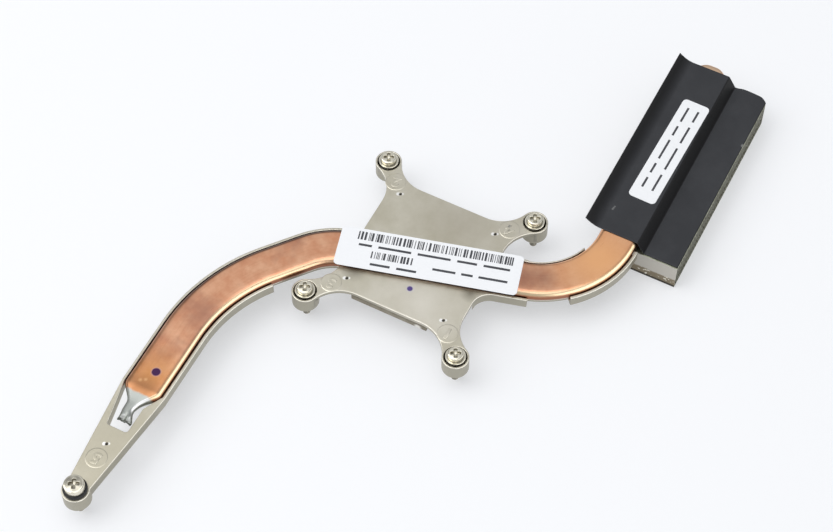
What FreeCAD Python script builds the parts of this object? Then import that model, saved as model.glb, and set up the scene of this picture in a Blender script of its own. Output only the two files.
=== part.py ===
import FreeCAD, Part
import math
import os

from FreeCAD import Vector

# A laptop heat sink: a cast carrier clamps a copper block to the processor with four sprung captive screws,
# a flattened heat pipe lies in the carrier's trough, and a pack of folded fins hangs under its far leg.
# Millimetres. The origin is the middle of the processor contact face, and Z points away from the processor.

# Screw places
SCREW_SPACING_X = 44.0
SCREW_SPACING_Y = 47.0
ARM_SCREW_Y = -100.3

# Heat pipe: a round tube rolled flat, with three bends between four straight runs
PIPE_WIDTH = 10.57
PIPE_THICKNESS = 3.5
PIPE_EDGE_STEPS = 6
PIPE_FOOT_X = -44.0
PIPE_FOOT_Y = -68.0
PIPE_HEAD_X = 44.0
PIPE_HEAD_Y = 94.3
FIRST_CORNER_Y = -33.1
MIDDLE_CORNER_X = -23.8
MIDDLE_CORNER_Y = -8.4
LAST_CORNER_Y = 10.35
FIRST_BEND_RADIUS = 44.0
MIDDLE_BEND_RADIUS = 18.0
LAST_BEND_RADIUS = 22.4
SHOULDER_LENGTH = 5.4
SHOULDER_NARROWING = [(0, 0), (0.35, 0.2), (0.75, 0.78), (1, 1)]
NECK_WIDTH = 3.9
NECK_THICKNESS = 2.4
NECK_LENGTH = 3.6
CRIMP_WIDTH = 4.2
CRIMP_THICKNESS = 1.3
CRIMP_LENGTH = 1.2

# Copper contact block under the carrier
BLOCK_WIDTH = 22.0
BLOCK_LENGTH = 36.6
BLOCK_UNDER_PIPE = 0.75
BLOCK_THICKNESS = 1.7
BLOCK_CLEARANCE = 0.1

# Carrier casting: a plate with four necks, a trough for the pipe and a tapered arm
PLATE_THICKNESS = 1.3
PLATE_LEFT_X = -17.6
PLATE_RIGHT_X = 18.6
PLATE_TOP_Y = 18.9
PLATE_BOTTOM_Y = -18.5
NECK_RADIUS = 9.6
BOSS_DIAMETER = 7.2
BOSS_HEIGHT = 4.9
BOSS_LEDGE = 0.9
TROUGH_FLOOR = 1.0
TROUGH_FLOOR_WIDTH = 9.0
TROUGH_WALL = 0.8
PIPE_SIDE_GAP = 0.3
ARM_INNER_WALL_STOP = 1.6
TONGUE_LENGTH = 1.3
TONGUE_ROUND = 5.0
BEND_INNER_WALL = 0.5
BEND_INNER_WALL_LENGTH = 21.9
BEND_OUTER_WALL_START = 10.3
FIN_FACE_GAP = 0.4
ARM_TIP_WIDTH = 6.0
WINDOW_DEPTH = 13.0
WINDOW_WIDTH = 5.8
WINDOW_SHOULDER = 5.2
WINDOW_CORNER_RADIUS = 0.8
WINDOW_RIM = 1.0
PUNCH_WIDTH = 1.4
PUNCH_DEPTH = 0.4
PUNCH_FROM_SCREW = 11.4
ARM_PUNCH_FROM_SCREW = 14.3

# Captive screws, their springs and retaining rings
HEAD_DIAMETER = 4.2
HEAD_HEIGHT = 1.5
FLANGE_DIAMETER = 5.4
FLANGE_THICKNESS = 0.5
RECESS_SPAN = 2.5
RECESS_WIDTH = 0.7
RECESS_DEPTH = 0.9
SHANK_DIAMETER = 2.4
SHANK_CLEARANCE = 0.1
THREAD_DIAMETER = 2.0
TIP_LENGTH = 5.5
SPRING_DIAMETER = 5.2
SPRING_WIRE = 0.45
SPRING_TURNS = 4
SPRING_STEPS_PER_TURN = 10
SPRING_WIRE_SIDES = 4
SPRING_SEAT_GAP = 0.02
SPRING_BORE_CLEARANCE = 0.45
RING_DIAMETER = 5.6
RING_THICKNESS = 0.4
RING_MOUTH = 1.3
RING_GROOVE_DIAMETER = 1.6
RING_CLEARANCE = 0.05
RING_SEAT_GAP = 0.02
WASHER_DIAMETER = 6.2
WASHER_THICKNESS = 1.1
ARM_HEAD_DIAMETER = 5.3
ARM_SEAT_GAP = 0.02

# Fin pack: folded fins stacked along Y, their flanges touching the next fin
FIN_COUNT = 51
FIN_PITCH = 1.23
FIN_SHEET = 0.3
FIN_NEAR_Y = 28.5
FIN_LEFT_OF_PIPE = 5.1
FIN_DEPTH = 22.5
FIN_HEIGHT = 8.6

# Black films and paper labels
FILM_THICKNESS = 0.2
FILM_NEAR_SETBACK = 0.4
FILM_FAR_OVERHANG = 1.6
FILM_RIGHT_SETBACK = 0.1
FLAP_WIDTH = 4.6
FLAP_RISE = 2.0
FLAP_CURL_AT = 0.55
FLAP_CURL_RISE = 0.22
FILM_STEP_RUN = 2.2
FILM_CORNER_CUT_X = 2.4
FILM_CORNER_CUT_Y = 1.3
BASE_FILM_SETBACK = 0.2
LABEL_THICKNESS = 0.12
LABEL_LENGTH = 49.0
LABEL_WIDTH = 12.4
LABEL_CORNER_RADIUS = 1.2
LABEL_PAST_MIDDLE_CORNER = 27.6
FIN_LABEL_LENGTH = 36.8
FIN_LABEL_WIDTH = 7.8
FIN_LABEL_FROM_EDGE = 13.3
FIN_LABEL_OFF_PIPE = 0.8
FIN_LABEL_TURN = -1.2

# Levels that follow from the sizes above
PLATE_UNDERSIDE_Z = BLOCK_THICKNESS
PLATE_TOP_Z = PLATE_UNDERSIDE_Z + PLATE_THICKNESS
PIPE_BOTTOM_Z = BLOCK_UNDER_PIPE
PIPE_TOP_Z = PIPE_BOTTOM_Z + PIPE_THICKNESS
PIPE_MIDDLE_Z = PIPE_BOTTOM_Z + PIPE_THICKNESS / 2
TROUGH_BOTTOM_Z = PIPE_BOTTOM_Z - TROUGH_FLOOR
BOSS_BOTTOM_Z = PLATE_TOP_Z - BOSS_HEIGHT
LEDGE_TOP_Z = BOSS_BOTTOM_Z + BOSS_LEDGE
FIN_TOP_Z = PIPE_BOTTOM_Z
FIN_BOTTOM_Z = FIN_TOP_Z - FIN_HEIGHT

# Plan sizes that follow from the sizes above
PIPE_END_Y = PIPE_HEAD_Y - PIPE_WIDTH / 2
BOSS_RADIUS = BOSS_DIAMETER / 2
SLOT_HALF = PIPE_WIDTH / 2 + PIPE_SIDE_GAP
TROUGH_HALF = SLOT_HALF + TROUGH_WALL
SPRING_BORE_DIAMETER = SPRING_DIAMETER + 2 * SPRING_BORE_CLEARANCE
SHANK_HOLE_DIAMETER = SHANK_DIAMETER + 2 * SHANK_CLEARANCE
FIN_LENGTH = (FIN_COUNT - 1) * FIN_PITCH + FIN_SHEET
FIN_FAR_Y = FIN_NEAR_Y + FIN_LENGTH
FIN_LEFT_X = PIPE_HEAD_X - FIN_LEFT_OF_PIPE
FIN_RIGHT_X = FIN_LEFT_X + FIN_DEPTH
ARM_SCREW = Vector(PIPE_FOOT_X, ARM_SCREW_Y, 0)
CORNER_SCREWS = [
    Vector(sx * SCREW_SPACING_X / 2, sy * SCREW_SPACING_Y / 2, 0)
    for sx, sy in ((-1, 1), (1, 1), (-1, -1), (1, -1))
]


# Small geometry helpers

TOUCH = 1e-3

def disc(x, y, z, diameter, height):
    """An upright cylinder standing on height z."""
    return Part.makeCylinder(diameter / 2, height, Vector(x, y, z))


def slab(x0, y0, z0, x1, y1, z1):
    """A box between two corners."""
    return Part.makeBox(x1 - x0, y1 - y0, z1 - z0, Vector(x0, y0, z0))


def prism(points, z, height):
    """A straight-sided outline in plan, raised by a height."""
    corners = [Vector(x, y, z) for x, y in points]
    return Part.Face(Part.makePolygon(corners + corners[:1])).extrude(Vector(0, 0, height))


def rounded_sheet(length, width, radius, thickness):
    """A flat sheet with four round corners, middle at the origin, long side along X."""
    sheet = Part.makeBox(length, width, thickness, Vector(-length / 2, -width / 2, 0))
    upright = [e for e in sheet.Edges if abs(e.tangentAt(e.FirstParameter).z) > 0.9]
    return sheet.makeFillet(radius, upright)


def heading_vector(angle):
    return Vector(math.cos(angle), math.sin(angle), 0)


# The pipe's centre line in plan: straight runs joined by tangent arcs

def make_path():
    """List the runs and bends as (kind, start, heading, length, turn, centre)."""
    corners = [
        Vector(PIPE_FOOT_X, PIPE_FOOT_Y, 0),
        Vector(PIPE_FOOT_X, FIRST_CORNER_Y, 0),
        Vector(MIDDLE_CORNER_X, MIDDLE_CORNER_Y, 0),
        Vector(PIPE_HEAD_X, LAST_CORNER_Y, 0),
        Vector(PIPE_HEAD_X, PIPE_END_Y, 0),
    ]
    radii = [FIRST_BEND_RADIUS, MIDDLE_BEND_RADIUS, LAST_BEND_RADIUS]
    headings = [math.atan2(b.y - a.y, b.x - a.x) for a, b in zip(corners, corners[1:])]
    path = []
    start = corners[0]
    for corner, radius, before, after in zip(corners[1:], radii, headings, headings[1:]):
        turn = after - before
        tangent = radius * math.tan(abs(turn) / 2)
        bend_start = corner - heading_vector(before) * tangent
        side = math.copysign(1, turn)
        centre = bend_start + heading_vector(before + side * math.pi / 2) * radius
        path.append(("run", start, before, (bend_start - start).Length, 0, None))
        path.append(("bend", bend_start, before, radius * abs(turn), turn, centre))
        start = corner + heading_vector(after) * tangent
    path.append(("run", start, headings[-1], (corners[-1] - start).Length, 0, None))
    return path


PATH = make_path()
STATIONS = [sum(piece[3] for piece in PATH[:i]) for i in range(len(PATH) + 1)]
FIRST_BEND_END = STATIONS[2]
MIDDLE_BEND_END = STATIONS[4]
LAST_BEND_START = STATIONS[5]
LAST_BEND_END = STATIONS[6]
PATH_END = STATIONS[7]


def section_wire(points, start, heading):
    """A cross-section given as (left of the line, height), stood upright at a point of the line."""
    left = heading_vector(heading + math.pi / 2)
    corners = [start + left * across + Vector(0, 0, z) for across, z in points]
    return Part.makePolygon(corners + corners[:1])


def section_face(points, start, heading):
    return Part.Face(section_wire(points, start, heading))


def rolled_edge(width, thickness):
    """The flattened tube's left edge from bottom to top, as points of a half circle."""
    radius = thickness / 2
    angles = [math.pi * (step / PIPE_EDGE_STEPS - 0.5) for step in range(PIPE_EDGE_STEPS + 1)]
    return [
        (width / 2 - radius + radius * math.cos(angle), PIPE_MIDDLE_Z + radius * math.sin(angle))
        for angle in angles
    ]


def tube_outline(width, thickness):
    """The flattened tube's whole outline: two flats joined by the rolled edges."""
    left = rolled_edge(width, thickness)
    return left + [(-across, z) for across, z in reversed(left)]


def along_path(make_face, first, last):
    """Carry a cross-section along the pipe's line between two distances from its foot."""
    pieces = []
    for (kind, start, heading, length, turn, centre), at in zip(PATH, STATIONS):
        low = max(first - at, 0)
        high = min(last - at, length)
        if high - low < TOUCH:
            continue
        if kind == "run":
            face = make_face(start + heading_vector(heading) * low, heading)
            pieces.append(face.extrude(heading_vector(heading) * (high - low)))
        else:
            face = make_face(start, heading)
            face.rotate(centre, Vector(0, 0, 1), math.degrees(turn * low / length))
            sweep = math.degrees(turn * (high - low) / length)
            pieces.append(face.revolve(centre, Vector(0, 0, 1), sweep))
    return join(pieces)


def join(pieces):
    """Fuse pieces into one solid and merge the faces that continue each other."""
    if len(pieces) == 1:
        return pieces[0]
    return pieces[0].fuse(pieces[1:]).removeSplitter()


# Heat pipe

def heat_pipe():
    """The flattened tube, domed at its head and drawn down to a pinched filling neck at its foot."""
    outline = tube_outline(PIPE_WIDTH, PIPE_THICKNESS)
    tube = along_path(lambda start, heading: section_face(outline, start, heading), 0, PATH_END)
    north = math.pi / 2
    head = Vector(PIPE_HEAD_X, PIPE_END_Y, 0)
    half = [(0, PIPE_BOTTOM_Z)] + rolled_edge(PIPE_WIDTH, PIPE_THICKNESS) + [(0, PIPE_TOP_Z)]
    dome = section_face(half, head, north).revolve(head, Vector(0, 0, 1), -180)

    foot = Vector(PIPE_FOOT_X, PIPE_FOOT_Y, 0)
    neck_y = -SHOULDER_LENGTH
    crimp_y = neck_y - NECK_LENGTH
    neck_rings = [
        (PIPE_WIDTH + (NECK_WIDTH - PIPE_WIDTH) * share,
         PIPE_THICKNESS + (NECK_THICKNESS - PIPE_THICKNESS) * share,
         neck_y * way)
        for way, share in SHOULDER_NARROWING
    ]
    neck_rings.append((NECK_WIDTH, NECK_THICKNESS, crimp_y))
    neck_rings.append((CRIMP_WIDTH, CRIMP_THICKNESS, crimp_y - CRIMP_LENGTH))
    wires = [
        section_wire(tube_outline(width, thickness), foot + Vector(0, y, 0), north)
        for width, thickness, y in neck_rings
    ]
    neck = Part.makeLoft(wires, True, True)
    return join([tube, dome, neck])


# Contact block

def contact_block():
    """A copper block whose top seats on the plate and whose groove seats the pipe."""
    block = slab(-BLOCK_WIDTH / 2, PLATE_BOTTOM_Y, 0,
                 BLOCK_WIDTH / 2, PLATE_BOTTOM_Y + BLOCK_LENGTH, BLOCK_THICKNESS)
    return block.cut(pipe_slot(PIPE_BOTTOM_Z, BLOCK_THICKNESS))


def pipe_slot(bottom, top):
    """The room that the pipe needs between two heights, with its side gap."""
    def face(start, heading):
        return section_face(
            [(-SLOT_HALF, bottom), (SLOT_HALF, bottom), (SLOT_HALF, top), (-SLOT_HALF, top)],
            start, heading)

    return along_path(face, 0, LAST_BEND_END)


# Carrier casting

def neck_tangent(screw, line_x=None, line_y=None):
    """Centre of the round neck that touches a boss and a straight plate edge from outside."""
    reach = BOSS_RADIUS + NECK_RADIUS
    if line_y is not None:
        y = line_y + math.copysign(NECK_RADIUS, screw.y)
        x = screw.x - math.copysign(math.sqrt(reach ** 2 - (y - screw.y) ** 2), screw.x)
    else:
        x = line_x + math.copysign(NECK_RADIUS, screw.x)
        y = screw.y - math.copysign(math.sqrt(reach ** 2 - (x - screw.x) ** 2), screw.y)
    return Vector(x, y, 0)


def neck_web(screw):
    """A quarter of the plate out to a boss, with a concave round on each side of the neck."""
    edge_x = PLATE_LEFT_X if screw.x < 0 else PLATE_RIGHT_X
    edge_y = PLATE_BOTTOM_Y if screw.y < 0 else PLATE_TOP_Y
    above = neck_tangent(screw, line_y=edge_y)
    beside = neck_tangent(screw, line_x=edge_x)
    outline = [
        (0, 0),
        (0, edge_y),
        (above.x, edge_y),
        (above.x, above.y),
        (screw.x, screw.y),
        (beside.x, beside.y),
        (edge_x, beside.y),
        (edge_x, 0),
    ]
    web = prism(outline, PLATE_UNDERSIDE_Z, PLATE_THICKNESS)
    rounds = [
        disc(centre.x, centre.y, PLATE_UNDERSIDE_Z, 2 * NECK_RADIUS, PLATE_THICKNESS)
        for centre in (above, beside)
    ]
    return web.cut(rounds)


def tongue_web():
    """The concave round where the plate's right edge runs out into the trough's tongue."""
    start, heading = PATH[4][1], PATH[4][2]
    along = heading_vector(heading)
    outward = heading_vector(heading - math.pi / 2)
    edge = start + outward * TROUGH_HALF
    corner = edge + along * ((PLATE_RIGHT_X - edge.x) / along.x)
    centre_x = PLATE_RIGHT_X + TONGUE_ROUND
    rise = ((centre_x - edge.x) * outward.x - TONGUE_ROUND) / -outward.y
    centre = Vector(centre_x, edge.y + rise, 0)
    touch = centre - outward * TONGUE_ROUND
    height = PLATE_TOP_Z - TROUGH_BOTTOM_Z
    web = prism([
        (corner.x, corner.y),
        (touch.x, touch.y),
        (centre.x, centre.y),
        (PLATE_RIGHT_X, centre.y),
    ], TROUGH_BOTTOM_Z, height)
    return web.cut(disc(centre.x, centre.y, TROUGH_BOTTOM_Z, 2 * TONGUE_ROUND, height))


def wall(side, first, last, thickness=TROUGH_WALL):
    """A trough wall and the strip of floor that carries it, on the left (1) or right (-1) of the pipe."""
    inner = side * TROUGH_FLOOR_WIDTH / 4
    outer = side * (SLOT_HALF + thickness)
    points = [
        (inner, TROUGH_BOTTOM_Z),
        (outer, TROUGH_BOTTOM_Z),
        (outer, PLATE_TOP_Z),
        (side * SLOT_HALF, PLATE_TOP_Z),
        (side * SLOT_HALF, PIPE_BOTTOM_Z),
        (inner, PIPE_BOTTOM_Z),
    ]
    return along_path(lambda start, heading: section_face(points, start, heading), first, last)


def trough_floor():
    """The strip under the pipe, from its foot to just short of the fin pack."""
    half = TROUGH_FLOOR_WIDTH / 2
    points = [
        (-half, TROUGH_BOTTOM_Z),
        (half, TROUGH_BOTTOM_Z),
        (half, PIPE_BOTTOM_Z),
        (-half, PIPE_BOTTOM_Z),
    ]
    stop = LAST_BEND_END + FIN_NEAR_Y - FIN_FACE_GAP - bend_end_y()
    return along_path(lambda start, heading: section_face(points, start, heading), 0, stop)


def bend_end_y():
    """How far up Y the last bend ends."""
    return PATH[6][1].y


def arm_outline(inset):
    """The tapered arm from the trough's foot to its screw, drawn in by an inset."""
    half = TROUGH_HALF - inset
    radius = ARM_TIP_WIDTH / 2 - inset
    drop = PIPE_FOOT_Y - ARM_SCREW_Y
    reach = math.hypot(half, drop)
    lean = math.atan2(half, drop) - math.asin(radius / reach)
    touch_x = radius * math.cos(lean)
    touch_y = ARM_SCREW_Y + radius * math.sin(lean)
    return [
        (PIPE_FOOT_X - half, PIPE_FOOT_Y),
        (PIPE_FOOT_X - touch_x, touch_y),
        (PIPE_FOOT_X + touch_x, touch_y),
        (PIPE_FOOT_X + half, PIPE_FOOT_Y),
    ]


def arm():
    """The arm's top and side rails, and the full-depth frame of the window round the pipe's filling neck."""
    height = PLATE_TOP_Z - TROUGH_BOTTOM_Z
    body = prism(arm_outline(0), TROUGH_BOTTOM_Z, height)
    bottom_y = PIPE_FOOT_Y - WINDOW_DEPTH
    frame = prism([
        (PIPE_FOOT_X - TROUGH_HALF, PIPE_FOOT_Y),
        (PIPE_FOOT_X - TROUGH_HALF, bottom_y - WINDOW_RIM),
        (PIPE_FOOT_X + TROUGH_HALF, bottom_y - WINDOW_RIM),
        (PIPE_FOOT_X + TROUGH_HALF, PIPE_FOOT_Y),
    ], TROUGH_BOTTOM_Z, height)
    hollow = prism(arm_outline(TROUGH_WALL), TROUGH_BOTTOM_Z, height - PLATE_THICKNESS).cut(frame)
    window = prism([
        (PIPE_FOOT_X - SLOT_HALF, PIPE_FOOT_Y),
        (PIPE_FOOT_X - WINDOW_WIDTH / 2, bottom_y),
        (PIPE_FOOT_X + WINDOW_WIDTH / 2, bottom_y),
        (PIPE_FOOT_X + WINDOW_WIDTH / 2, PIPE_FOOT_Y - WINDOW_SHOULDER),
        (PIPE_FOOT_X + SLOT_HALF, PIPE_FOOT_Y),
    ], TROUGH_BOTTOM_Z, height)
    corners = [
        e for e in window.Edges
        if abs(e.tangentAt(e.FirstParameter).z) > 0.9 and e.CenterOfMass.y < bottom_y + TOUCH
    ]
    window = window.makeFillet(WINDOW_CORNER_RADIUS, corners)
    return body.cut([hollow, window])


def boss(screw):
    return disc(screw.x, screw.y, BOSS_BOTTOM_Z, BOSS_DIAMETER, BOSS_HEIGHT)


def punch_places():
    """One punch mark for each screw: towards the plate's middle, or up the arm."""
    places = []
    for screw in CORNER_SCREWS:
        inward = Vector(-screw.x, -screw.y, 0)
        inward.normalize()
        places.append(screw + inward * PUNCH_FROM_SCREW)
    places.append(ARM_SCREW + Vector(0, ARM_PUNCH_FROM_SCREW, 0))
    return places


def punch_mark(place):
    """A four-sided pit left in the top by a pointed punch."""
    half = PUNCH_WIDTH / 2
    rim = [place + Vector(x, y, PLATE_TOP_Z) for x, y in ((-half, 0), (0, -half), (half, 0), (0, half))]
    point = place + Vector(0, 0, PLATE_TOP_Z - PUNCH_DEPTH)
    sides = [Part.makePolygon([a, b, point, a]) for a, b in zip(rim, rim[1:] + rim[:1])]
    faces = [Part.Face(side) for side in sides + [Part.makePolygon(rim + rim[:1])]]
    return Part.Solid(Part.Shell(faces))


def carrier_plate():
    """The nickel-plated casting that everything else is fixed to."""
    plate = join([neck_web(screw) for screw in CORNER_SCREWS])
    walls = [
        wall(1, 0, LAST_BEND_START),
        wall(1, LAST_BEND_START, LAST_BEND_START + BEND_INNER_WALL_LENGTH, BEND_INNER_WALL),
        wall(-1, 0, FIRST_BEND_END - ARM_INNER_WALL_STOP),
        wall(-1, MIDDLE_BEND_END, LAST_BEND_START + TONGUE_LENGTH),
        wall(-1, LAST_BEND_START + BEND_OUTER_WALL_START, LAST_BEND_END),
    ]
    bosses = [boss(screw) for screw in CORNER_SCREWS + [ARM_SCREW]]
    casting = join([plate, tongue_web(), trough_floor(), arm()] + walls + bosses)

    clear = BLOCK_CLEARANCE
    cuts = [slab(-BLOCK_WIDTH / 2 - clear, PLATE_BOTTOM_Y - clear, TROUGH_BOTTOM_Z,
                 BLOCK_WIDTH / 2 + clear, PLATE_BOTTOM_Y + BLOCK_LENGTH + clear, PLATE_UNDERSIDE_Z)]
    cuts.append(pipe_slot(PIPE_BOTTOM_Z, PIPE_TOP_Z))
    for screw in CORNER_SCREWS:
        cuts.append(disc(screw.x, screw.y, LEDGE_TOP_Z, SPRING_BORE_DIAMETER, BOSS_HEIGHT))
    for screw in CORNER_SCREWS + [ARM_SCREW]:
        cuts.append(disc(screw.x, screw.y, BOSS_BOTTOM_Z, SHANK_HOLE_DIAMETER, BOSS_HEIGHT))
    cuts.extend(punch_mark(place) for place in punch_places())
    return casting.cut(cuts)


# Captive screws

def turned(profile, screw):
    """A piece turned about a screw's axis from (radius, height) points."""
    corners = [Vector(r, 0, z) for r, z in profile]
    face = Part.Face(Part.makePolygon(corners + corners[:1]))
    solid = face.revolve(Vector(0, 0, 0), Vector(0, 0, 1), 360)
    solid.translate(Vector(screw.x, screw.y, 0))
    return solid


def captive_screw(screw, head_bottom, head_diameter, flange_diameter):
    """A shouldered screw with a cross recess and a groove for its retaining ring."""
    shank = SHANK_DIAMETER / 2
    thread = THREAD_DIAMETER / 2
    groove = RING_GROOVE_DIAMETER / 2
    groove_top = BOSS_BOTTOM_Z - RING_SEAT_GAP
    groove_bottom = groove_top - RING_THICKNESS - 2 * RING_CLEARANCE
    tip = BOSS_BOTTOM_Z - TIP_LENGTH
    flange_top = head_bottom + FLANGE_THICKNESS
    head_top = flange_top + HEAD_HEIGHT
    body = turned([
        (0, tip),
        (thread, tip),
        (thread, groove_bottom),
        (groove, groove_bottom),
        (groove, groove_top),
        (shank, groove_top),
        (shank, head_bottom),
        (flange_diameter / 2, head_bottom),
        (flange_diameter / 2, flange_top),
        (head_diameter / 2, flange_top),
        (head_diameter / 2, head_top),
        (0, head_top),
    ], screw)
    for span_x, span_y in ((RECESS_SPAN, RECESS_WIDTH), (RECESS_WIDTH, RECESS_SPAN)):
        body = body.cut(slab(screw.x - span_x / 2, screw.y - span_y / 2, head_top - RECESS_DEPTH,
                             screw.x + span_x / 2, screw.y + span_y / 2, head_top))
    return body


def spring(screw):
    """An open coil between the boss's ledge and the screw's flange."""
    wire = SPRING_WIRE / 2
    coil = (SPRING_DIAMETER - SPRING_WIRE) / 2
    low = LEDGE_TOP_Z + SPRING_SEAT_GAP + wire
    rise = PLATE_TOP_Z - SPRING_SEAT_GAP - wire - low
    steps = SPRING_TURNS * SPRING_STEPS_PER_TURN
    sections = []
    for step in range(steps + 1):
        outward = heading_vector(2 * math.pi * step / SPRING_STEPS_PER_TURN)
        middle = Vector(screw.x, screw.y, low + rise * step / steps) + outward * coil
        corners = []
        for side in range(SPRING_WIRE_SIDES):
            angle = 2 * math.pi * side / SPRING_WIRE_SIDES
            corners.append(middle + outward * (wire * math.cos(angle)) + Vector(0, 0, wire * math.sin(angle)))
        sections.append(Part.makePolygon(corners + corners[:1]))
    return Part.makeLoft(sections, True, True)


def retaining_ring(screw):
    """An open ring snapped into the screw's groove under the boss."""
    top = BOSS_BOTTOM_Z - RING_SEAT_GAP - RING_CLEARANCE
    bottom = top - RING_THICKNESS
    bore = RING_GROOVE_DIAMETER + 2 * RING_CLEARANCE
    ring = disc(screw.x, screw.y, bottom, RING_DIAMETER, RING_THICKNESS)
    mouth = slab(screw.x - RING_MOUTH / 2, screw.y - RING_DIAMETER, bottom,
                 screw.x + RING_MOUTH / 2, screw.y, top)
    return ring.cut([disc(screw.x, screw.y, bottom, bore, RING_THICKNESS), mouth])


def rubber_washer():
    """The black washer under the arm screw's head."""
    x, y = ARM_SCREW.x, ARM_SCREW.y
    washer = disc(x, y, PLATE_TOP_Z, WASHER_DIAMETER, WASHER_THICKNESS)
    return washer.cut(disc(x, y, PLATE_TOP_Z, SHANK_HOLE_DIAMETER, WASHER_THICKNESS))


# Fin pack

def fin_pack():
    """The folded fins, soldered at their flanges, with an open air channel between each pair."""
    stack = slab(FIN_LEFT_X, FIN_NEAR_Y, FIN_BOTTOM_Z, FIN_RIGHT_X, FIN_FAR_Y, FIN_TOP_Z)
    channels = []
    for k in range(FIN_COUNT - 1):
        y = FIN_NEAR_Y + FIN_SHEET + k * FIN_PITCH
        channels.append(slab(FIN_LEFT_X, y, FIN_BOTTOM_Z + FIN_SHEET,
                             FIN_RIGHT_X, y + FIN_PITCH - FIN_SHEET, FIN_TOP_Z - FIN_SHEET))
    return stack.cut(channels)


# Films and labels

def film_line(offset):
    """The cover film's profile across the pipe, from its curled flap to the fins' far edge."""
    half_flat = (PIPE_WIDTH - PIPE_THICKNESS) / 2
    flap_end = PIPE_HEAD_X - half_flat - PIPE_THICKNESS / 2
    flap_middle = flap_end - FLAP_WIDTH * FLAP_CURL_AT
    edge = PIPE_HEAD_X + half_flat + PIPE_THICKNESS / 2
    return [
        Vector(flap_end - FLAP_WIDTH, 0, PIPE_TOP_Z + FLAP_RISE + offset),
        Vector(flap_middle, 0, PIPE_TOP_Z + FLAP_RISE * FLAP_CURL_RISE + offset),
        Vector(flap_end, 0, PIPE_TOP_Z + offset),
        Vector(edge + offset / 2, 0, PIPE_TOP_Z + offset),
        Vector(edge + FILM_STEP_RUN + offset / 2, 0, FIN_TOP_Z + offset),
        Vector(FIN_RIGHT_X - FILM_RIGHT_SETBACK, 0, FIN_TOP_Z + offset),
    ]


def cover_film():
    """The black film over pipe and fins, curled up along its free flap and cut at its far corner."""
    under = film_line(0)
    over = film_line(FILM_THICKNESS)
    outline = Part.Wire([
        Part.Arc(under[0], under[1], under[2]).toShape(),
        Part.makePolygon(under[2:]),
        Part.LineSegment(under[-1], over[-1]).toShape(),
        Part.makePolygon(over[:1:-1]),
        Part.Arc(over[2], over[1], over[0]).toShape(),
        Part.LineSegment(over[0], under[0]).toShape(),
    ])
    near = FIN_NEAR_Y + FILM_NEAR_SETBACK
    far = FIN_FAR_Y + FILM_FAR_OVERHANG
    film = Part.Face(outline).extrude(Vector(0, far - near, 0))
    film.translate(Vector(0, near, 0))
    right = under[-1].x
    corner = prism([
        (right - FILM_CORNER_CUT_X, far),
        (right, far - FILM_CORNER_CUT_Y),
        (right, far),
    ], FIN_TOP_Z, FILM_THICKNESS)
    return film.cut(corner)


def base_film():
    """The thin black film under the fins."""
    inset = BASE_FILM_SETBACK
    return slab(FIN_LEFT_X + inset, FIN_NEAR_Y + inset, FIN_BOTTOM_Z - FILM_THICKNESS,
                FIN_RIGHT_X - inset, FIN_FAR_Y - inset, FIN_BOTTOM_Z)


def main_label():
    """The wide paper label along the pipe's middle run."""
    heading = PATH[4][2]
    middle = Vector(MIDDLE_CORNER_X, MIDDLE_CORNER_Y, PIPE_TOP_Z)
    middle += heading_vector(heading) * LABEL_PAST_MIDDLE_CORNER
    label = rounded_sheet(LABEL_LENGTH, LABEL_WIDTH, LABEL_CORNER_RADIUS, LABEL_THICKNESS)
    label.rotate(Vector(0, 0, 0), Vector(0, 0, 1), math.degrees(heading))
    label.translate(middle)
    return label


def fin_label():
    """The narrow paper label on the cover film, over the pipe."""
    near = FIN_NEAR_Y + FILM_NEAR_SETBACK + FIN_LABEL_FROM_EDGE
    label = rounded_sheet(FIN_LABEL_LENGTH, FIN_LABEL_WIDTH, LABEL_CORNER_RADIUS, LABEL_THICKNESS)
    label.rotate(Vector(0, 0, 0), Vector(0, 0, 1), 90 + FIN_LABEL_TURN)
    label.translate(Vector(PIPE_HEAD_X + FIN_LABEL_OFF_PIPE, near + FIN_LABEL_LENGTH / 2,
                           PIPE_TOP_Z + FILM_THICKNESS))
    return label


# All pieces by name

def build():
    pieces = {
        "carrier_plate": carrier_plate(),
        "contact_block": contact_block(),
        "heat_pipe": heat_pipe(),
        "fin_pack": fin_pack(),
        "cover_film": cover_film(),
        "base_film": base_film(),
        "main_label": main_label(),
        "fin_label": fin_label(),
        "rubber_washer": rubber_washer(),
    }
    for number, screw in enumerate(CORNER_SCREWS, 1):
        pieces[f"screw_{number}"] = captive_screw(screw, PLATE_TOP_Z, HEAD_DIAMETER, FLANGE_DIAMETER)
        pieces[f"spring_{number}"] = spring(screw)
        pieces[f"retaining_ring_{number}"] = retaining_ring(screw)
    arm_head = PLATE_TOP_Z + WASHER_THICKNESS + ARM_SEAT_GAP
    pieces["screw_5"] = captive_screw(ARM_SCREW, arm_head, ARM_HEAD_DIAMETER, ARM_HEAD_DIAMETER)
    pieces["retaining_ring_5"] = retaining_ring(ARM_SCREW)
    return pieces


os.makedirs("parts", exist_ok=True)
for name, shape in build().items():
    if len(shape.Solids) == 1:
        shape = shape.Solids[0]
    shape.exportStep(f"parts/{name}.step")
    print(f"{name}: {len(shape.Solids)} solid, {shape.Volume:.2f} mm3, valid {shape.isValid()}")
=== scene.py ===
# %% [markdown]
# # A laptop heatsink
# The solids of the part come first: a cast carrier, a copper heat pipe, a fin pack, films, labels and
# captive screws. This lesson dresses them for the camera. Sizes are written in millimetres, as on a
# workshop drawing, and become metres only when a mesh is made, because Blender counts in metres.

# %% Load the solids
import math

import bmesh
import bpy
import numpy as np
from mathutils import Matrix, Vector


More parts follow.
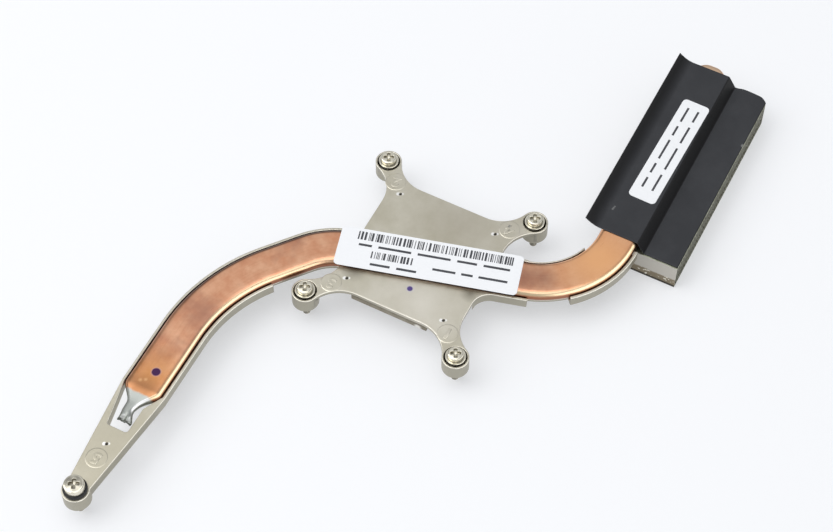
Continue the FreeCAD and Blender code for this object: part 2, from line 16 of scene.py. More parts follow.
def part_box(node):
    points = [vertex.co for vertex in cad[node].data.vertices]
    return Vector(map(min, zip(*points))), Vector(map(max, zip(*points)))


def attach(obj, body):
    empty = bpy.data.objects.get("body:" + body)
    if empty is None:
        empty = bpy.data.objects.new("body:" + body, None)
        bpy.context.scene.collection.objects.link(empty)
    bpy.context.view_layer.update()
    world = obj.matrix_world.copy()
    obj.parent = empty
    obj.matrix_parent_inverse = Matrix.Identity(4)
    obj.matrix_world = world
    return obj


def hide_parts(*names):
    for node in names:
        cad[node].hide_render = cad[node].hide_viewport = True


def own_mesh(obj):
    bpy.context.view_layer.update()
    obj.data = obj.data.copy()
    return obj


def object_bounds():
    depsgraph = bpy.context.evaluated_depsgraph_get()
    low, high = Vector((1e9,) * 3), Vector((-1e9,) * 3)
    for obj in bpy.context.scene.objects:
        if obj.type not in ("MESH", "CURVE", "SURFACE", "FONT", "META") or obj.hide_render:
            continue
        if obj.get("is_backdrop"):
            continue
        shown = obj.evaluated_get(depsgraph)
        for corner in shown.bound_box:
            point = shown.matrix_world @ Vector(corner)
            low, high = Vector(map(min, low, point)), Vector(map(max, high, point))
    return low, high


MM = 0.001
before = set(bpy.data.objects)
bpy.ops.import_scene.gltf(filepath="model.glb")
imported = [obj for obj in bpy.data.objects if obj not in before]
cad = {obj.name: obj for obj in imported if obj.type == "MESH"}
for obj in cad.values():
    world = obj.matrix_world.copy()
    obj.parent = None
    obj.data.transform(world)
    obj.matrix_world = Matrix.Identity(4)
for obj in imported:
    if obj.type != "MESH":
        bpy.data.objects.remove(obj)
cad_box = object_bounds()
print(f"{len(cad)} solids, {(cad_box[1] - cad_box[0]) / MM} mm over all")

# %% [markdown]
# ## The camera
# A product photographer stands well back with a long lens, so that near and far ends look alike in
# size. The camera is turned round the upright axis, tilted down, and then moved back along its own
# line of sight. Its target is the top of the carrier plate, in the middle of the four screws.

# %% Camera
PLATE_TOP = 3.0
PICTURE_WIDTH = 833
FOCAL_LENGTH = 2100
SENSOR_WIDTH = 36
CAMERA_TURN = math.radians(27.33)
CAMERA_TILT = math.radians(33.32)
CAMERA_PLACE = Vector((-1.22, -2.68, 554.3))

lens = bpy.data.cameras.new("camera")
lens.sensor_width = SENSOR_WIDTH
lens.lens = SENSOR_WIDTH * FOCAL_LENGTH / PICTURE_WIDTH
lens.clip_start = 0.01
camera = bpy.data.objects.new("camera", lens)
bpy.context.scene.collection.objects.link(camera)
target = Matrix.Translation((0, 0, PLATE_TOP * MM))
aim = Matrix.Rotation(CAMERA_TURN, 4, "Z") @ Matrix.Rotation(CAMERA_TILT, 4, "X")
camera.matrix_world = target @ aim @ Matrix.Translation(CAMERA_PLACE * MM)
bpy.context.scene.camera = camera
bpy.context.scene.view_settings.view_transform = "Standard"
print(f"lens {lens.lens:.1f} mm, camera at {camera.matrix_world.translation / MM}")

# %% [markdown]
# ## Colours and shader nodes
# Colours are picked as sRGB hex values, the way a paint program shows them, while a shader works with
# linear light, so one function turns the first into the second. A second function adds a shader node,
# sets its options and feeds its sockets with values or other nodes, which keeps each material below to
# a readable list. A third paints a round spot over the colour that a material has so far, for ink,
# stains and nicks.

# %% Colour and node helpers
# A colour mix numbers its sockets: the share of the colour on top, the one under it and the one on top.
SHARE, UNDER, OVER = 0, 6, 7


def linear(code):
    """An sRGB hex colour as linear red, green, blue and alpha."""
    channels = np.array([int(code[i:i + 2], 16) for i in (1, 3, 5)]) / 255
    light = np.where(channels <= 0.04045, channels / 12.92, ((channels + 0.055) / 1.055) ** 2.4)
    return (*light, 1.0)


def feed(material, socket, value):
    """Set a socket to a value, or join it to an output. A node stands for its first output in use."""
    if isinstance(value, bpy.types.Node):
        value = next(output for output in value.outputs if output.enabled)
    if isinstance(value, bpy.types.NodeSocket):
        material.node_tree.links.new(value, socket)
    else:
        socket.default_value = value


def add(material, kind, inputs=(), **settings):
    """Add a node. Settings are its options, and inputs pair its sockets with what feeds them."""
    node = material.node_tree.nodes.new(kind)
    for name, value in settings.items():
        setattr(node, name, value)
    for socket, value in dict(inputs).items():
        feed(material, node.inputs[socket], value)
    return node


def per_size(millimetres):
    """The texture scale at which one feature of a pattern is this large."""
    return 1 / (millimetres * MM)


def shade(material, **sockets):
    """Feed the sockets of a material's shader that have these names."""
    shader = material.node_tree.nodes["Principled BSDF"]
    for name, value in sockets.items():
        feed(material, shader.inputs[name.replace("_", " ")], value)


def start_material(name, **sockets):
    """A new material with these sockets of its shader set, and Object coordinates."""
    material = bpy.data.materials.new(name)
    material.use_nodes = True
    shade(material, **sockets)
    return material, add(material, "ShaderNodeTexCoord").outputs["Object"]


def spot(material, place, colour, centre, radius, soft, code, strength):
    """Paint a round spot over a colour. Its middle, radius and soft rim are in millimetres."""
    reach = add(material, "ShaderNodeVectorMath", {
        0: place, 1: Vector(centre) * MM}, operation="DISTANCE")
    share = add(material, "ShaderNodeMapRange", {
        "Value": reach, "To Max": strength,
        "From Min": (radius + soft) * MM, "From Max": (radius - soft) * MM})
    return add(material, "ShaderNodeMix", {
        SHARE: share, UNDER: colour, OVER: linear(code)}, data_type="RGBA")


def dress(node, material):
    """Give a solid one material in place of its own."""
    cad[node].data.materials.clear()
    cad[node].data.materials.append(material)


print("linear mid grey", linear("#808080")[0])

# %% [markdown]
# ## Floor and light
# The heatsink lies on a white table. A large soft lamp on the left gives the shadows their side. A
# smaller one overhead draws bright lines along rounded edges. A wide low card on the right is there
# only to be mirrored in the pipe's edge, so it gives no light to dull surfaces, and a dim card behind
# is what flat metal mirrors. The world fills in the rest evenly. The table is lifted a little towards
# white where the camera or a reflection sees it, and keeps its shadows.

# %% Floor, lamps and world
FLOOR_SIZE = 6000
FLOOR_GAP = 0.05
FLOOR_LIFT = 0.45
LAMPS = [
    ("left_softbox", (-680, -420, 950), (1100, 1100), 6.5),
    ("overhead_softbox", (-20, -140, 1100), (1100, 900), 3.9),
    ("mirrored_card", (860, -75, 385), (1600, 640), 4.2),
    ("reflector_card", (-250, 720, 950), (1100, 1100), 1.0),
]
WORLD_LIGHT = 0.48

floor_level = cad_box[0].z - FLOOR_GAP * MM
bpy.ops.mesh.primitive_plane_add(size=FLOOR_SIZE * MM, location=(0, 0, floor_level))
floor = bpy.context.object
floor.name = "table"
table, _ = start_material("white_table", Roughness=0.85, Base_Color=linear("#FAFBFD"))
rays = add(table, "ShaderNodeLightPath").outputs
seen = add(table, "ShaderNodeMath", {
    0: rays["Is Camera Ray"], 1: rays["Is Glossy Ray"]}, operation="MAXIMUM")
lift = add(table, "ShaderNodeMath", {0: seen, 1: FLOOR_LIFT}, operation="MULTIPLY")
glow = add(table, "ShaderNodeEmission", {"Color": linear("#FCFDFF"), "Strength": 1.0})
lifted = add(table, "ShaderNodeMixShader", {
    0: lift, 1: table.node_tree.nodes["Principled BSDF"], 2: glow})
feed(table, table.node_tree.nodes["Material Output"].inputs["Surface"], lifted)
floor.data.materials.append(table)
floor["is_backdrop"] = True

for name, place, size, power in LAMPS:
    light = bpy.data.lights.new(name, "AREA")
    light.shape = "RECTANGLE"
    light.size, light.size_y = (side * MM for side in size)
    light.energy = power
    lamp = bpy.data.objects.new(name, light)
    lamp.location = Vector(place) * MM
    lamp.rotation_euler = (-lamp.location).to_track_quat("-Z", "Y").to_euler()
    bpy.context.scene.collection.objects.link(lamp)
bpy.data.objects["mirrored_card"].visible_diffuse = False

world = bpy.data.worlds.new("soft_studio")
world.use_nodes = True
bpy.context.scene.world = world
sky = world.node_tree.nodes["Background"]
sky.inputs["Color"].default_value = linear("#F4F7FC")
sky.inputs["Strength"].default_value = WORLD_LIGHT
print(f"floor at {floor_level / MM:.2f} mm, {len(LAMPS)} lamps")

# %% [markdown]
# ## Grids into meshes
# Most pieces below are a surface with two parameters: one runs along the piece and one round it. The
# points come as one array with a row for each step along, and neighbouring rows are joined by quads.
# A merge by distance closes poles, and the normals of a closed piece are then turned outwards.

# %% Mesh helpers
MERGE = 0.001
PLATE_SCREWS, ARM_SCREW = range(1, 5), 5


def quads_of(rows, columns, wrap):
    """Corner numbers of the quads of a grid. Wrapping joins the last column to the first."""
    row = np.arange(rows - 1)[:, None] * columns
    column = np.arange(columns if wrap else columns - 1)[None, :]
    after = (column + 1) % columns
    corners = [row + column, row + after, row + columns + after, row + columns + column]
    return np.stack(corners, axis=-1).reshape(-1, 4)


def finish_mesh(name, mesh, material, body, closed=True):
    """Put a mesh into the scene as one piece that rides on a body of the frame."""
    shape = bmesh.new()
    shape.from_mesh(mesh)
    bmesh.ops.remove_doubles(shape, verts=shape.verts, dist=MERGE * MM)
    if closed:
        bmesh.ops.recalc_face_normals(shape, faces=shape.faces)
    shape.to_mesh(mesh)
    shape.free()
    mesh.polygons.foreach_set("use_smooth", np.ones(len(mesh.polygons), bool))
    mesh.materials.clear()
    mesh.materials.append(material)
    piece = bpy.data.objects.new(name, mesh)
    bpy.context.scene.collection.objects.link(piece)
    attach(piece, body)
    return piece


def surface(name, points, material, body, wrap=True, closed=True, uv=None):
    """A piece from a grid of points in millimetres. Each point may have two numbers as its UV map."""
    rows, columns = points.shape[:2]
    quads = quads_of(rows, columns, wrap)
    mesh = bpy.data.meshes.new(name)
    mesh.from_pydata((points.reshape(-1, 3) * MM).tolist(), [], quads.tolist())
    if uv is not None:
        layer = mesh.uv_layers.new(name="surface_map")
        layer.data.foreach_set("uv", uv.reshape(-1, 2)[quads.reshape(-1)].reshape(-1))
    return finish_mesh(name, mesh, material, body, closed)


def corners_of(node):
    """The lowest and highest corner of a solid's box, in millimetres."""
    return [np.array(corner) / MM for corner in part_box(node)]


def near_screw(number, distance, arm_distance):
    """The place so far from a plate screw towards the plate's middle, or up the arm from its screw."""
    low, high = corners_of(f"screw_{number}")
    screw = (low[:2] + high[:2]) / 2
    if number == ARM_SCREW:
        return screw + np.array([0, arm_distance])
    return screw * (1 - distance / np.hypot(*screw))


def distance_along(line):
    """How far each point of a line is from its start: the sum of the steps up to it."""
    return np.append(0, np.cumsum(np.hypot(*np.diff(line, axis=0).T)))


def swept(x, y, radius, angle, height):
    """Points round an upright axis at x and y, each with its radius, angle and height."""
    return np.stack(np.broadcast_arrays(
        x + radius * np.cos(angle), y + radius * np.sin(angle), height), axis=-1)


def smooth_step(value):
    """Nought below 0, one above 1, and an S curve between."""
    value = np.clip(value, 0, 1)
    return value * value * (3 - 2 * value)


print("a 3 by 4 grid has", len(quads_of(3, 4, True)), "wrapped quads")

# %% [markdown]
# ## Nickel on a die casting
# The carrier is cast metal with a thin coat of nickel: warm grey, satin and a little cloudy from the
# mould. Nickel is a metal, so its colour is its reflection. The clouds are a slow noise between two
# greys, and a fine noise, coarser than the real grain so that it shows, makes the skin slightly
# rough. How far the surface tilts tells its parts apart: walls get a painted shade that makes them
# darker than the top, and the rounded upper edges get a painted highlight. A lighter patch below the
# plate's middle and darker ones above it and on the arm are painted reflection. A dab of purple ink
# marks a checked plate, two dark brown spots lie beside the label, and each punch mark has a painted
# highlight on one side and a painted shade on the other.

# %% Nickel material
NICKEL_MARKS_AND_PAINTED_LIGHT = [
    # Painted reflection: a lighter patch below the plate's middle, and darker ones on the arm and above
    # the middle.
    ((7.0, -12.0, PLATE_TOP), 8.0, 7.0, "#E9E4D9", 0.6),
    ((-44.0, -85.0, PLATE_TOP), 14.0, 6.0, "#B4AE9B", 0.7),
    ((5.0, 15.0, PLATE_TOP), 10.0, 8.0, "#B3AC9D", 0.5),
    # Two dark brown spots beside the label.
    ((-13.6, -12.0, PLATE_TOP), 2.0, 1.8, "#6F6859", 0.65),
    ((16.8, -4.7, PLATE_TOP), 1.5, 1.4, "#6F6859", 0.65),
    ((2.1, -10.5, PLATE_TOP), 1.05, 0.3, "#CFC9D2", 0.6),
    ((2.1, -10.5, PLATE_TOP), 0.75, 0.12, "#4E3C86", 0.92),
]
PUNCH_FROM_SCREW = 11.4
ARM_PUNCH_FROM_SCREW = 14.3
# Painted light on each punch mark: two bright spots on one side are a painted highlight, and a dark spot
# on the other side is a painted shade.
PUNCH_HIGHLIGHT_AND_SHADE = [
    ((-0.45, -0.22, 0), 0.5, 0.12, "#FFFEFA", 0.95),
    ((0.6, 0.3, 0), 0.35, 0.15, "#FFFEFA", 0.8),
    ((0.12, 0.06, -0.15), 0.45, 0.1, "#24201A", 0.95),
]

nickel, nickel_place = start_material("nickel_plated_casting", Metallic=1.0)
mould_clouds = add(nickel, "ShaderNodeTexNoise", {
    "Vector": nickel_place, "Scale": per_size(9), "Detail": 4.0, "Roughness": 0.6})
cast_grain = add(nickel, "ShaderNodeTexNoise", {
    "Vector": nickel_place, "Scale": per_size(0.45), "Detail": 2.0})
cloud_share = add(nickel, "ShaderNodeMapRange", {
    "Value": mould_clouds, "From Min": 0.35, "From Max": 0.7})
top_colour = add(nickel, "ShaderNodeMix", {
    SHARE: cloud_share, UNDER: linear("#D1CCBD"), OVER: linear("#BEB8A5")}, data_type="RGBA")
facing = add(nickel, "ShaderNodeSeparateXYZ", {
    0: add(nickel, "ShaderNodeNewGeometry").outputs["Normal"]})
# Painted shade: faces that tilt away from the top, walls and undersides, are mixed towards a darker grey.
wall_shade_share = add(nickel, "ShaderNodeMapRange", {
    "Value": facing.outputs["Z"], "From Min": 0.4, "From Max": 0.1, "To Max": 0.75})
nickel_colour = add(nickel, "ShaderNodeMix", {
    SHARE: wall_shade_share, UNDER: top_colour, OVER: linear("#9F9B8D")}, data_type="RGBA")
# Painted highlight: rounded upper edges are mixed towards a near white.
edge_highlight_share = add(nickel, "ShaderNodeMapRange", {
    "Value": facing.outputs["Z"], "From Min": 0.97, "From Max": 0.85, "To Max": 0.8})
upward = add(nickel, "ShaderNodeMath", {0: facing.outputs["Z"], 1: 0.3}, operation="GREATER_THAN")
edge = add(nickel, "ShaderNodeMath", {0: edge_highlight_share, 1: upward}, operation="MULTIPLY")
for mark in NICKEL_MARKS_AND_PAINTED_LIGHT:
    nickel_colour = spot(nickel, nickel_place, nickel_colour, *mark)
nickel_colour = add(nickel, "ShaderNodeMix", {
    SHARE: edge, UNDER: nickel_colour, OVER: linear("#FBF7EC")}, data_type="RGBA")
for number in (*PLATE_SCREWS, ARM_SCREW):
    punch = Vector((*near_screw(number, PUNCH_FROM_SCREW, ARM_PUNCH_FROM_SCREW), PLATE_TOP))
    for offset, *mark in PUNCH_HIGHLIGHT_AND_SHADE:
        nickel_colour = spot(nickel, nickel_place, nickel_colour, punch + Vector(offset), *mark)
nickel_gloss = add(nickel, "ShaderNodeMapRange", {"Value": cast_grain, "To Min": 0.32, "To Max": 0.48})
nickel_bump = add(nickel, "ShaderNodeBump", {
    "Height": cast_grain, "Strength": 0.25, "Distance": 0.03 * MM})
shade(nickel, Base_Color=nickel_colour, Roughness=nickel_gloss, Normal=nickel_bump)
print("material", nickel.name)

# %% [markdown]
# ## The casting
# The solid has knife-sharp edges, and real castings don't. A copy of its mesh is merged, its flat
# faces are joined, and a small bevel rounds its sharp edges, so that each one catches a thin line of
# light. Where two edges meet in a narrow point, a bevel would shoot out into a spike, so those edges
# get no weight and stay as they are. Weighted normals let the large flat faces decide the shading at
# their borders, so flats stay flat.

# %% Carrier casting
CASTING_EDGE = 0.24
SHARP_ANGLE = math.radians(40)
NARROW_ANGLE = math.radians(50)
FLAT_ANGLE = math.radians(1)


def read(items, field, width, kind):
    """One field of all items of a mesh as an array."""
    values = np.empty(len(items) * width, kind)
    items.foreach_get(field, values)
    return values.reshape(-1, width)


def bevel_weights(mesh):
    """One for a sharp edge of a closed mesh, nought for a dull one or one that ends in a narrow point.

    An edge is sharp where its two faces turn by more than an angle. A point is narrow where two sharp
    edges leave it with less than an angle between them.
    """
    ends = read(mesh.edges, "vertices", 2, np.int32)
    normals = read(mesh.polygons, "normal", 3, np.float32)
    corners = read(mesh.polygons, "loop_total", 1, np.int32)[:, 0]
    face_of_corner = np.repeat(np.arange(len(corners)), corners)
    edge_of_corner = read(mesh.loops, "edge_index", 1, np.int32)[:, 0]
    one, two = face_of_corner[np.argsort(edge_of_corner, kind="stable")].reshape(-1, 2).T
    sharp = (normals[one] * normals[two]).sum(axis=1) < math.cos(SHARP_ANGLE)

    places = read(mesh.vertices, "co", 3, np.float32)
    way = places[ends[sharp, 1]] - places[ends[sharp, 0]]
    way /= np.linalg.norm(way, axis=1, keepdims=True)
    start, leaving = np.concatenate(ends[sharp].T), np.concatenate([way, -way])
    close = (start[:, None] == start) & (leaving @ leaving.T > math.cos(NARROW_ANGLE))
    np.fill_diagonal(close, False)
    narrow = np.zeros(len(places), bool)
    narrow[start[close.any(axis=1)]] = True
    return (sharp & ~narrow[ends].any(axis=1)).astype(np.float32)


def rounded_copy(name, node, material, body, radius):
    """A merged copy of a solid with its sharp edges rounded. It stands for that solid."""
    mesh = cad[node].data.copy()
    shape = bmesh.new()
    shape.from_mesh(mesh)
    bmesh.ops.remove_doubles(shape, verts=shape.verts, dist=MERGE * MM)
    bmesh.ops.dissolve_limit(shape, angle_limit=FLAT_ANGLE, verts=shape.verts, edges=shape.edges)
    shape.to_mesh(mesh)
    shape.free()
    piece = finish_mesh(name, mesh, material, body)
    weights = mesh.attributes.new("bevel_weight_edge", "FLOAT", "EDGE")
    weights.data.foreach_set("value", bevel_weights(mesh))
    bevel = piece.modifiers.new("rounded_edges", "BEVEL")
    bevel.width = radius * MM
    bevel.segments = 2
    bevel.limit_method = "WEIGHT"
    bevel.use_clamp_overlap = False
    bevel.loop_slide = False
    flats = piece.modifiers.new("flat_faces_stay_flat", "WEIGHTED_NORMAL")
    flats.weight = 100
    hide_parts(node)
    return piece


casting = rounded_copy("casting", "carrier_plate", nickel, "carrier", CASTING_EDGE)
print(f"casting: {len(casting.data.polygons)} faces before its bevel")

# %% [markdown]
# ## Number marks
# Beside each screw the mould leaves a low round pad with a numeral, which gives the order of
# tightening: crosswise round the plate, and the arm last. A pad is a profile swept round its axis.
# The numeral is text that becomes a mesh, is turned to be read from the fins' end, and is then put
# into its place.

# %% Number marks
PAD_RADIUS = 2.85
PAD_HEIGHT = 0.07
PAD_SIDE = 0.16
PAD_STEPS = 64
PAD_FROM_SCREW = 7.2
ARM_PAD_FROM_SCREW = 9.8
NUMERAL_SIZE = 4.4
NUMERAL_HEIGHT = 0.05
NUMERAL_EDGE = 0.1
NUMERAL_WEIGHT = 0.1
NUMERAL_TURN = math.pi
TIGHTENING_ORDER = (2, 4, 3, 1, 5)


def numeral_mesh(number):
    """A numeral as a low mesh with soft edges, centred on the origin."""
    curve = bpy.data.curves.new(f"numeral_{number}", "FONT")
    curve.body = str(number)
    curve.size = NUMERAL_SIZE * MM
    curve.align_x, curve.align_y = "CENTER", "CENTER"
    curve.offset = NUMERAL_WEIGHT * MM
    curve.extrude = NUMERAL_HEIGHT * MM
    curve.bevel_depth = NUMERAL_EDGE * MM
    holder = bpy.data.objects.new(curve.name, curve)
    mesh = bpy.data.meshes.new_from_object(holder)
    bpy.data.objects.remove(holder)
    return mesh


pad_profile = np.array([
    (0, PAD_HEIGHT), (PAD_RADIUS - 2 * PAD_SIDE, PAD_HEIGHT),
    (PAD_RADIUS - PAD_SIDE, PAD_HEIGHT), (PAD_RADIUS, 0)])
pad_radius, pad_rise = pad_profile[:, :1], PLATE_TOP + pad_profile[:, 1:]
around = np.linspace(0, 2 * math.pi, PAD_STEPS, endpoint=False)
for number, order in enumerate(TIGHTENING_ORDER, start=1):
    x, y = near_screw(number, PAD_FROM_SCREW, ARM_PAD_FROM_SCREW)
    pad = swept(x, y, pad_radius, around, pad_rise)
    surface(f"number_pad_{number}", pad, nickel, "carrier", closed=False)
    numeral = numeral_mesh(order)
    place = Matrix.Translation(Vector((x, y, PLATE_TOP + PAD_HEIGHT)) * MM)
    numeral.transform(place @ Matrix.Rotation(NUMERAL_TURN, 4, "Z"))
    finish_mesh(f"number_{number}", numeral, nickel, "carrier")
print(len(TIGHTENING_ORDER), "number marks")

# %% [markdown]
# ## Copper, tin and ink
# The tube is drawn copper, rolled flat and bent. Drawing leaves fine streaks along it, and heat
# leaves brownish purple clouds. Its rolled sides get a painted shade, darkest beside the trough's
# outer wall between the arm and the plate. The opposite edge gets a painted highlight, strongest at
# the bends and white over the tin, and the filling neck is dipped in tin. A bright patch on the right
# bend is painted reflection. The UV map of the pipe runs along it and round it, so the streaks can
# follow the bends. One dot of purple ink marks a tested pipe.

# %% Copper material
PIPE_FOOT = (-44.0, -68.0)
PIPE_TOP = 4.25
COPPER_MARKS_AND_SHEEN = [
    ((-43.8, -64.5, PIPE_TOP), 6.0, 5.0, "#C98745", 0.7),
    ((-44.0, -70.4, PIPE_TOP), 4.2, 2.2, "#9C6D4A", 0.85),
    ((-41.0, -43.0, PIPE_TOP), 4.0, 4.0, "#B07C68", 0.5),
    ((-12.0, -5.5, PIPE_TOP), 6.0, 5.0, "#B98064", 0.5),
    # Painted reflection: the right bend is made lighter and yellower.
    ((42.5, 20.0, PIPE_TOP), 9.0, 7.0, "#FFC088", 0.9),
    ((44.0, 92.0, PIPE_TOP - 1), 4.5, 2.0, "#DCC3A6", 0.75),
    ((27.5, 6.4, PIPE_TOP), 2.6, 2.0, "#8A5A4E", 0.5),
    ((32.0, 7.8, PIPE_TOP), 2.6, 2.0, "#8A5A4E", 0.5),
    ((-45.6, -66.9, PIPE_TOP), 0.4, 0.3, "#F3C48E", 0.5),
    ((-44.4, -66.2, PIPE_TOP), 0.35, 0.3, "#F3C48E", 0.5),
    ((-43.2, -63.1, PIPE_TOP), 1.35, 0.2, "#D2A6A8", 0.6),
    ((-43.2, -63.1, PIPE_TOP), 1.15, 0.15, "#3A2050", 0.95),
]
OUTER_WALL = (-0.8, 0.6, 0)
# The stretch where the rolled side beside the outer wall gets a painted shade: it grows up the arm and
# fades out towards the right bend.
SHADED_STRETCH_START, SHADED_STRETCH_END = (-50, -36), (10, 20)
# Distances from the middle over which the painted highlight on the rolled edge grows to full strength.
HIGHLIGHT_FROM = (20, 28)
TIN_START = PIPE_FOOT[1] - 1.5
TIN_WAVE = 1.4
TIN_SOFT = 0.3
PINCH_START, PINCH_END = PIPE_FOOT[1] - 8.8, PIPE_FOOT[1] - 9.6

copper, copper_place = start_material("drawn_copper", Metallic=1.0)
heat_clouds = add(copper, "ShaderNodeTexNoise", {
    "Vector": copper_place, "Scale": per_size(16), "Detail": 4.0, "Roughness": 0.62})
small_clouds = add(copper, "ShaderNodeTexNoise", {
    "Vector": copper_place, "Scale": per_size(3.5), "Detail": 3.0, "Roughness": 0.6})
along = add(copper, "ShaderNodeUVMap", uv_map="surface_map")
stretched = add(copper, "ShaderNodeMapping", {
    "Vector": along, "Scale": (per_size(9), per_size(0.35), 1)})
streaks = add(copper, "ShaderNodeTexNoise", {"Vector": stretched, "Scale": 1.0, "Detail": 2.0})
tarnish = add(copper, "ShaderNodeMapRange", {
    "Value": heat_clouds, "From Min": 0.5, "From Max": 0.72, "To Max": 0.75})
warmth = add(copper, "ShaderNodeMapRange", {"Value": small_clouds, "From Min": 0.35, "From Max": 0.68})
bare_copper = add(copper, "ShaderNodeMix", {
    SHARE: warmth, UNDER: linear("#EAB592"), OVER: linear("#DB9C79")}, data_type="RGBA")
streak_share = add(copper, "ShaderNodeMapRange", {
    "Value": streaks, "From Min": 0.5, "From Max": 0.75, "To Max": 0.2})
streaked_copper = add(copper, "ShaderNodeMix", {
    SHARE: streak_share, UNDER: bare_copper, OVER: linear("#B87A58")}, data_type="RGBA")
copper_colour = add(copper, "ShaderNodeMix", {
    SHARE: tarnish, UNDER: streaked_copper, OVER: linear("#AE7A66")}, data_type="RGBA")
for mark in COPPER_MARKS_AND_SHEEN:
    copper_colour = spot(copper, copper_place, copper_colour, *mark)
faces = add(copper, "ShaderNodeNewGeometry").outputs["Normal"]
facing = add(copper, "ShaderNodeSeparateXYZ", {0: faces})
# Painted shade: the rolled sides, which tilt away from the top, are mixed towards a dark red brown.
rolled_side_shade_share = add(copper, "ShaderNodeMapRange", {
    "Value": facing.outputs["Z"], "From Min": 0.65, "From Max": 0.3, "To Max": 0.75})
side_shaded = add(copper, "ShaderNodeMix", {
    SHARE: rolled_side_shade_share, UNDER: copper_colour, OVER: linear("#7E4B38")}, data_type="RGBA")
# Painted shade: rolled sides that face the trough's outer wall are mixed towards a near black brown, most
# along the shaded stretch.
to_wall = add(copper, "ShaderNodeVectorMath", {0: faces, 1: OUTER_WALL}, operation="DOT_PRODUCT")
wall_side_shade_share = add(copper, "ShaderNodeMapRange", {
    "Value": to_wall, "From Min": 0.15, "From Max": 0.45, "To Max": 0.9})
position = add(copper, "ShaderNodeSeparateXYZ", {0: copper_place})
left_share = add(copper, "ShaderNodeMapRange", {
    "Value": position.outputs["X"], "From Min": SHADED_STRETCH_END[0] * MM, "From Max": SHADED_STRETCH_END[1] * MM,
    "To Min": 1.0, "To Max": 0.1})
past_arm = add(copper, "ShaderNodeMapRange", {
    "Value": position.outputs["Y"], "From Min": SHADED_STRETCH_START[0] * MM, "From Max": SHADED_STRETCH_START[1] * MM,
    "To Min": 0.4})
shaded_stretch = add(copper, "ShaderNodeMath", {0: left_share, 1: past_arm}, operation="MULTIPLY")
wall_side_shade = add(copper, "ShaderNodeMath", {0: wall_side_shade_share, 1: shaded_stretch}, operation="MULTIPLY")
wall_side_shaded = add(copper, "ShaderNodeMix", {
    SHARE: wall_side_shade, UNDER: side_shaded, OVER: linear("#4A2A1C")}, data_type="RGBA")
# Painted highlight: the rolled edge facing away from the outer wall is mixed towards a pale cream,
# strongest at the bends.
rolled_highlight_share = add(copper, "ShaderNodeMapRange", {
    "Value": to_wall, "From Min": -0.3, "From Max": -0.5, "To Max": 0.9})
low_share = add(copper, "ShaderNodeMapRange", {
    "Value": facing.outputs["Z"], "From Min": 0.42, "From Max": 0.62})
from_middle = add(copper, "ShaderNodeMath", {0: position.outputs["X"]}, operation="ABSOLUTE")
bend_share = add(copper, "ShaderNodeMapRange", {
    "Value": from_middle, "From Min": HIGHLIGHT_FROM[0] * MM, "From Max": HIGHLIGHT_FROM[1] * MM,
    "To Min": 0.3})
bend_highlight = add(copper, "ShaderNodeMath", {0: rolled_highlight_share, 1: bend_share}, operation="MULTIPLY")
rolled_highlight = add(copper, "ShaderNodeMath", {0: bend_highlight, 1: low_share}, operation="MULTIPLY")
wear_and_highlight = add(copper, "ShaderNodeMix", {
    SHARE: rolled_highlight, UNDER: wall_side_shaded, OVER: linear("#FFE6BC")}, data_type="RGBA")
dip_line = add(copper, "ShaderNodeMath", {
    0: small_clouds, 1: TIN_WAVE * MM, 2: position.outputs["Y"]}, operation="MULTIPLY_ADD")
tin_share = add(copper, "ShaderNodeMapRange", {
    "Value": dip_line,
    "From Min": (TIN_START + TIN_SOFT) * MM, "From Max": (TIN_START - TIN_SOFT) * MM})
# On the tin the same painted highlight is white.
tin_and_highlight = add(copper, "ShaderNodeMix", {
    SHARE: rolled_highlight, UNDER: linear("#A8ABA6"), OVER: linear("#FFFFFF")}, data_type="RGBA")
tinned = add(copper, "ShaderNodeMix", {
    SHARE: tin_share, UNDER: wear_and_highlight, OVER: tin_and_highlight}, data_type="RGBA")
pinch_share = add(copper, "ShaderNodeMapRange", {
    "Value": position.outputs["Y"], "To Max": 0.7,
    "From Min": PINCH_START * MM, "From Max": PINCH_END * MM})
pinched_tin = add(copper, "ShaderNodeMix", {
    SHARE: pinch_share, UNDER: tinned, OVER: linear("#83867F")}, data_type="RGBA")
copper_gloss = add(copper, "ShaderNodeMapRange", {"Value": streaks, "To Min": 0.26, "To Max": 0.31})
gloss = add(copper, "ShaderNodeMix", {"Factor": tin_share, "A": copper_gloss, "B": 0.46})
copper_bump = add(copper, "ShaderNodeBump", {
    "Height": streaks, "Strength": 0.02, "Distance": 0.02 * MM})
shade(copper, Base_Color=pinched_tin, Roughness=gloss, Normal=copper_bump)
print("material", copper.name)

# %% [markdown]
# ## The path of the pipe
# The path has straight runs and arcs that touch them. Each arc's centre lies on the line that halves
# its corner, and the heading turns evenly along the arc.

# %% Pipe path
PIPE_WIDTH = 10.57
PIPE_THICKNESS = 3.5
PIPE_MIDDLE = PIPE_TOP - PIPE_THICKNESS / 2
PIPE_HEAD = corners_of("heat_pipe")[1][1]
PIPE_CORNERS = [
    PIPE_FOOT, (-44.0, -33.1), (-23.8, -8.4), (44.0, 10.35), (44.0, PIPE_HEAD - PIPE_WIDTH / 2)]
BEND_RADII = [44.0, 18.0, 22.4]
BEND_STEP = 0.6


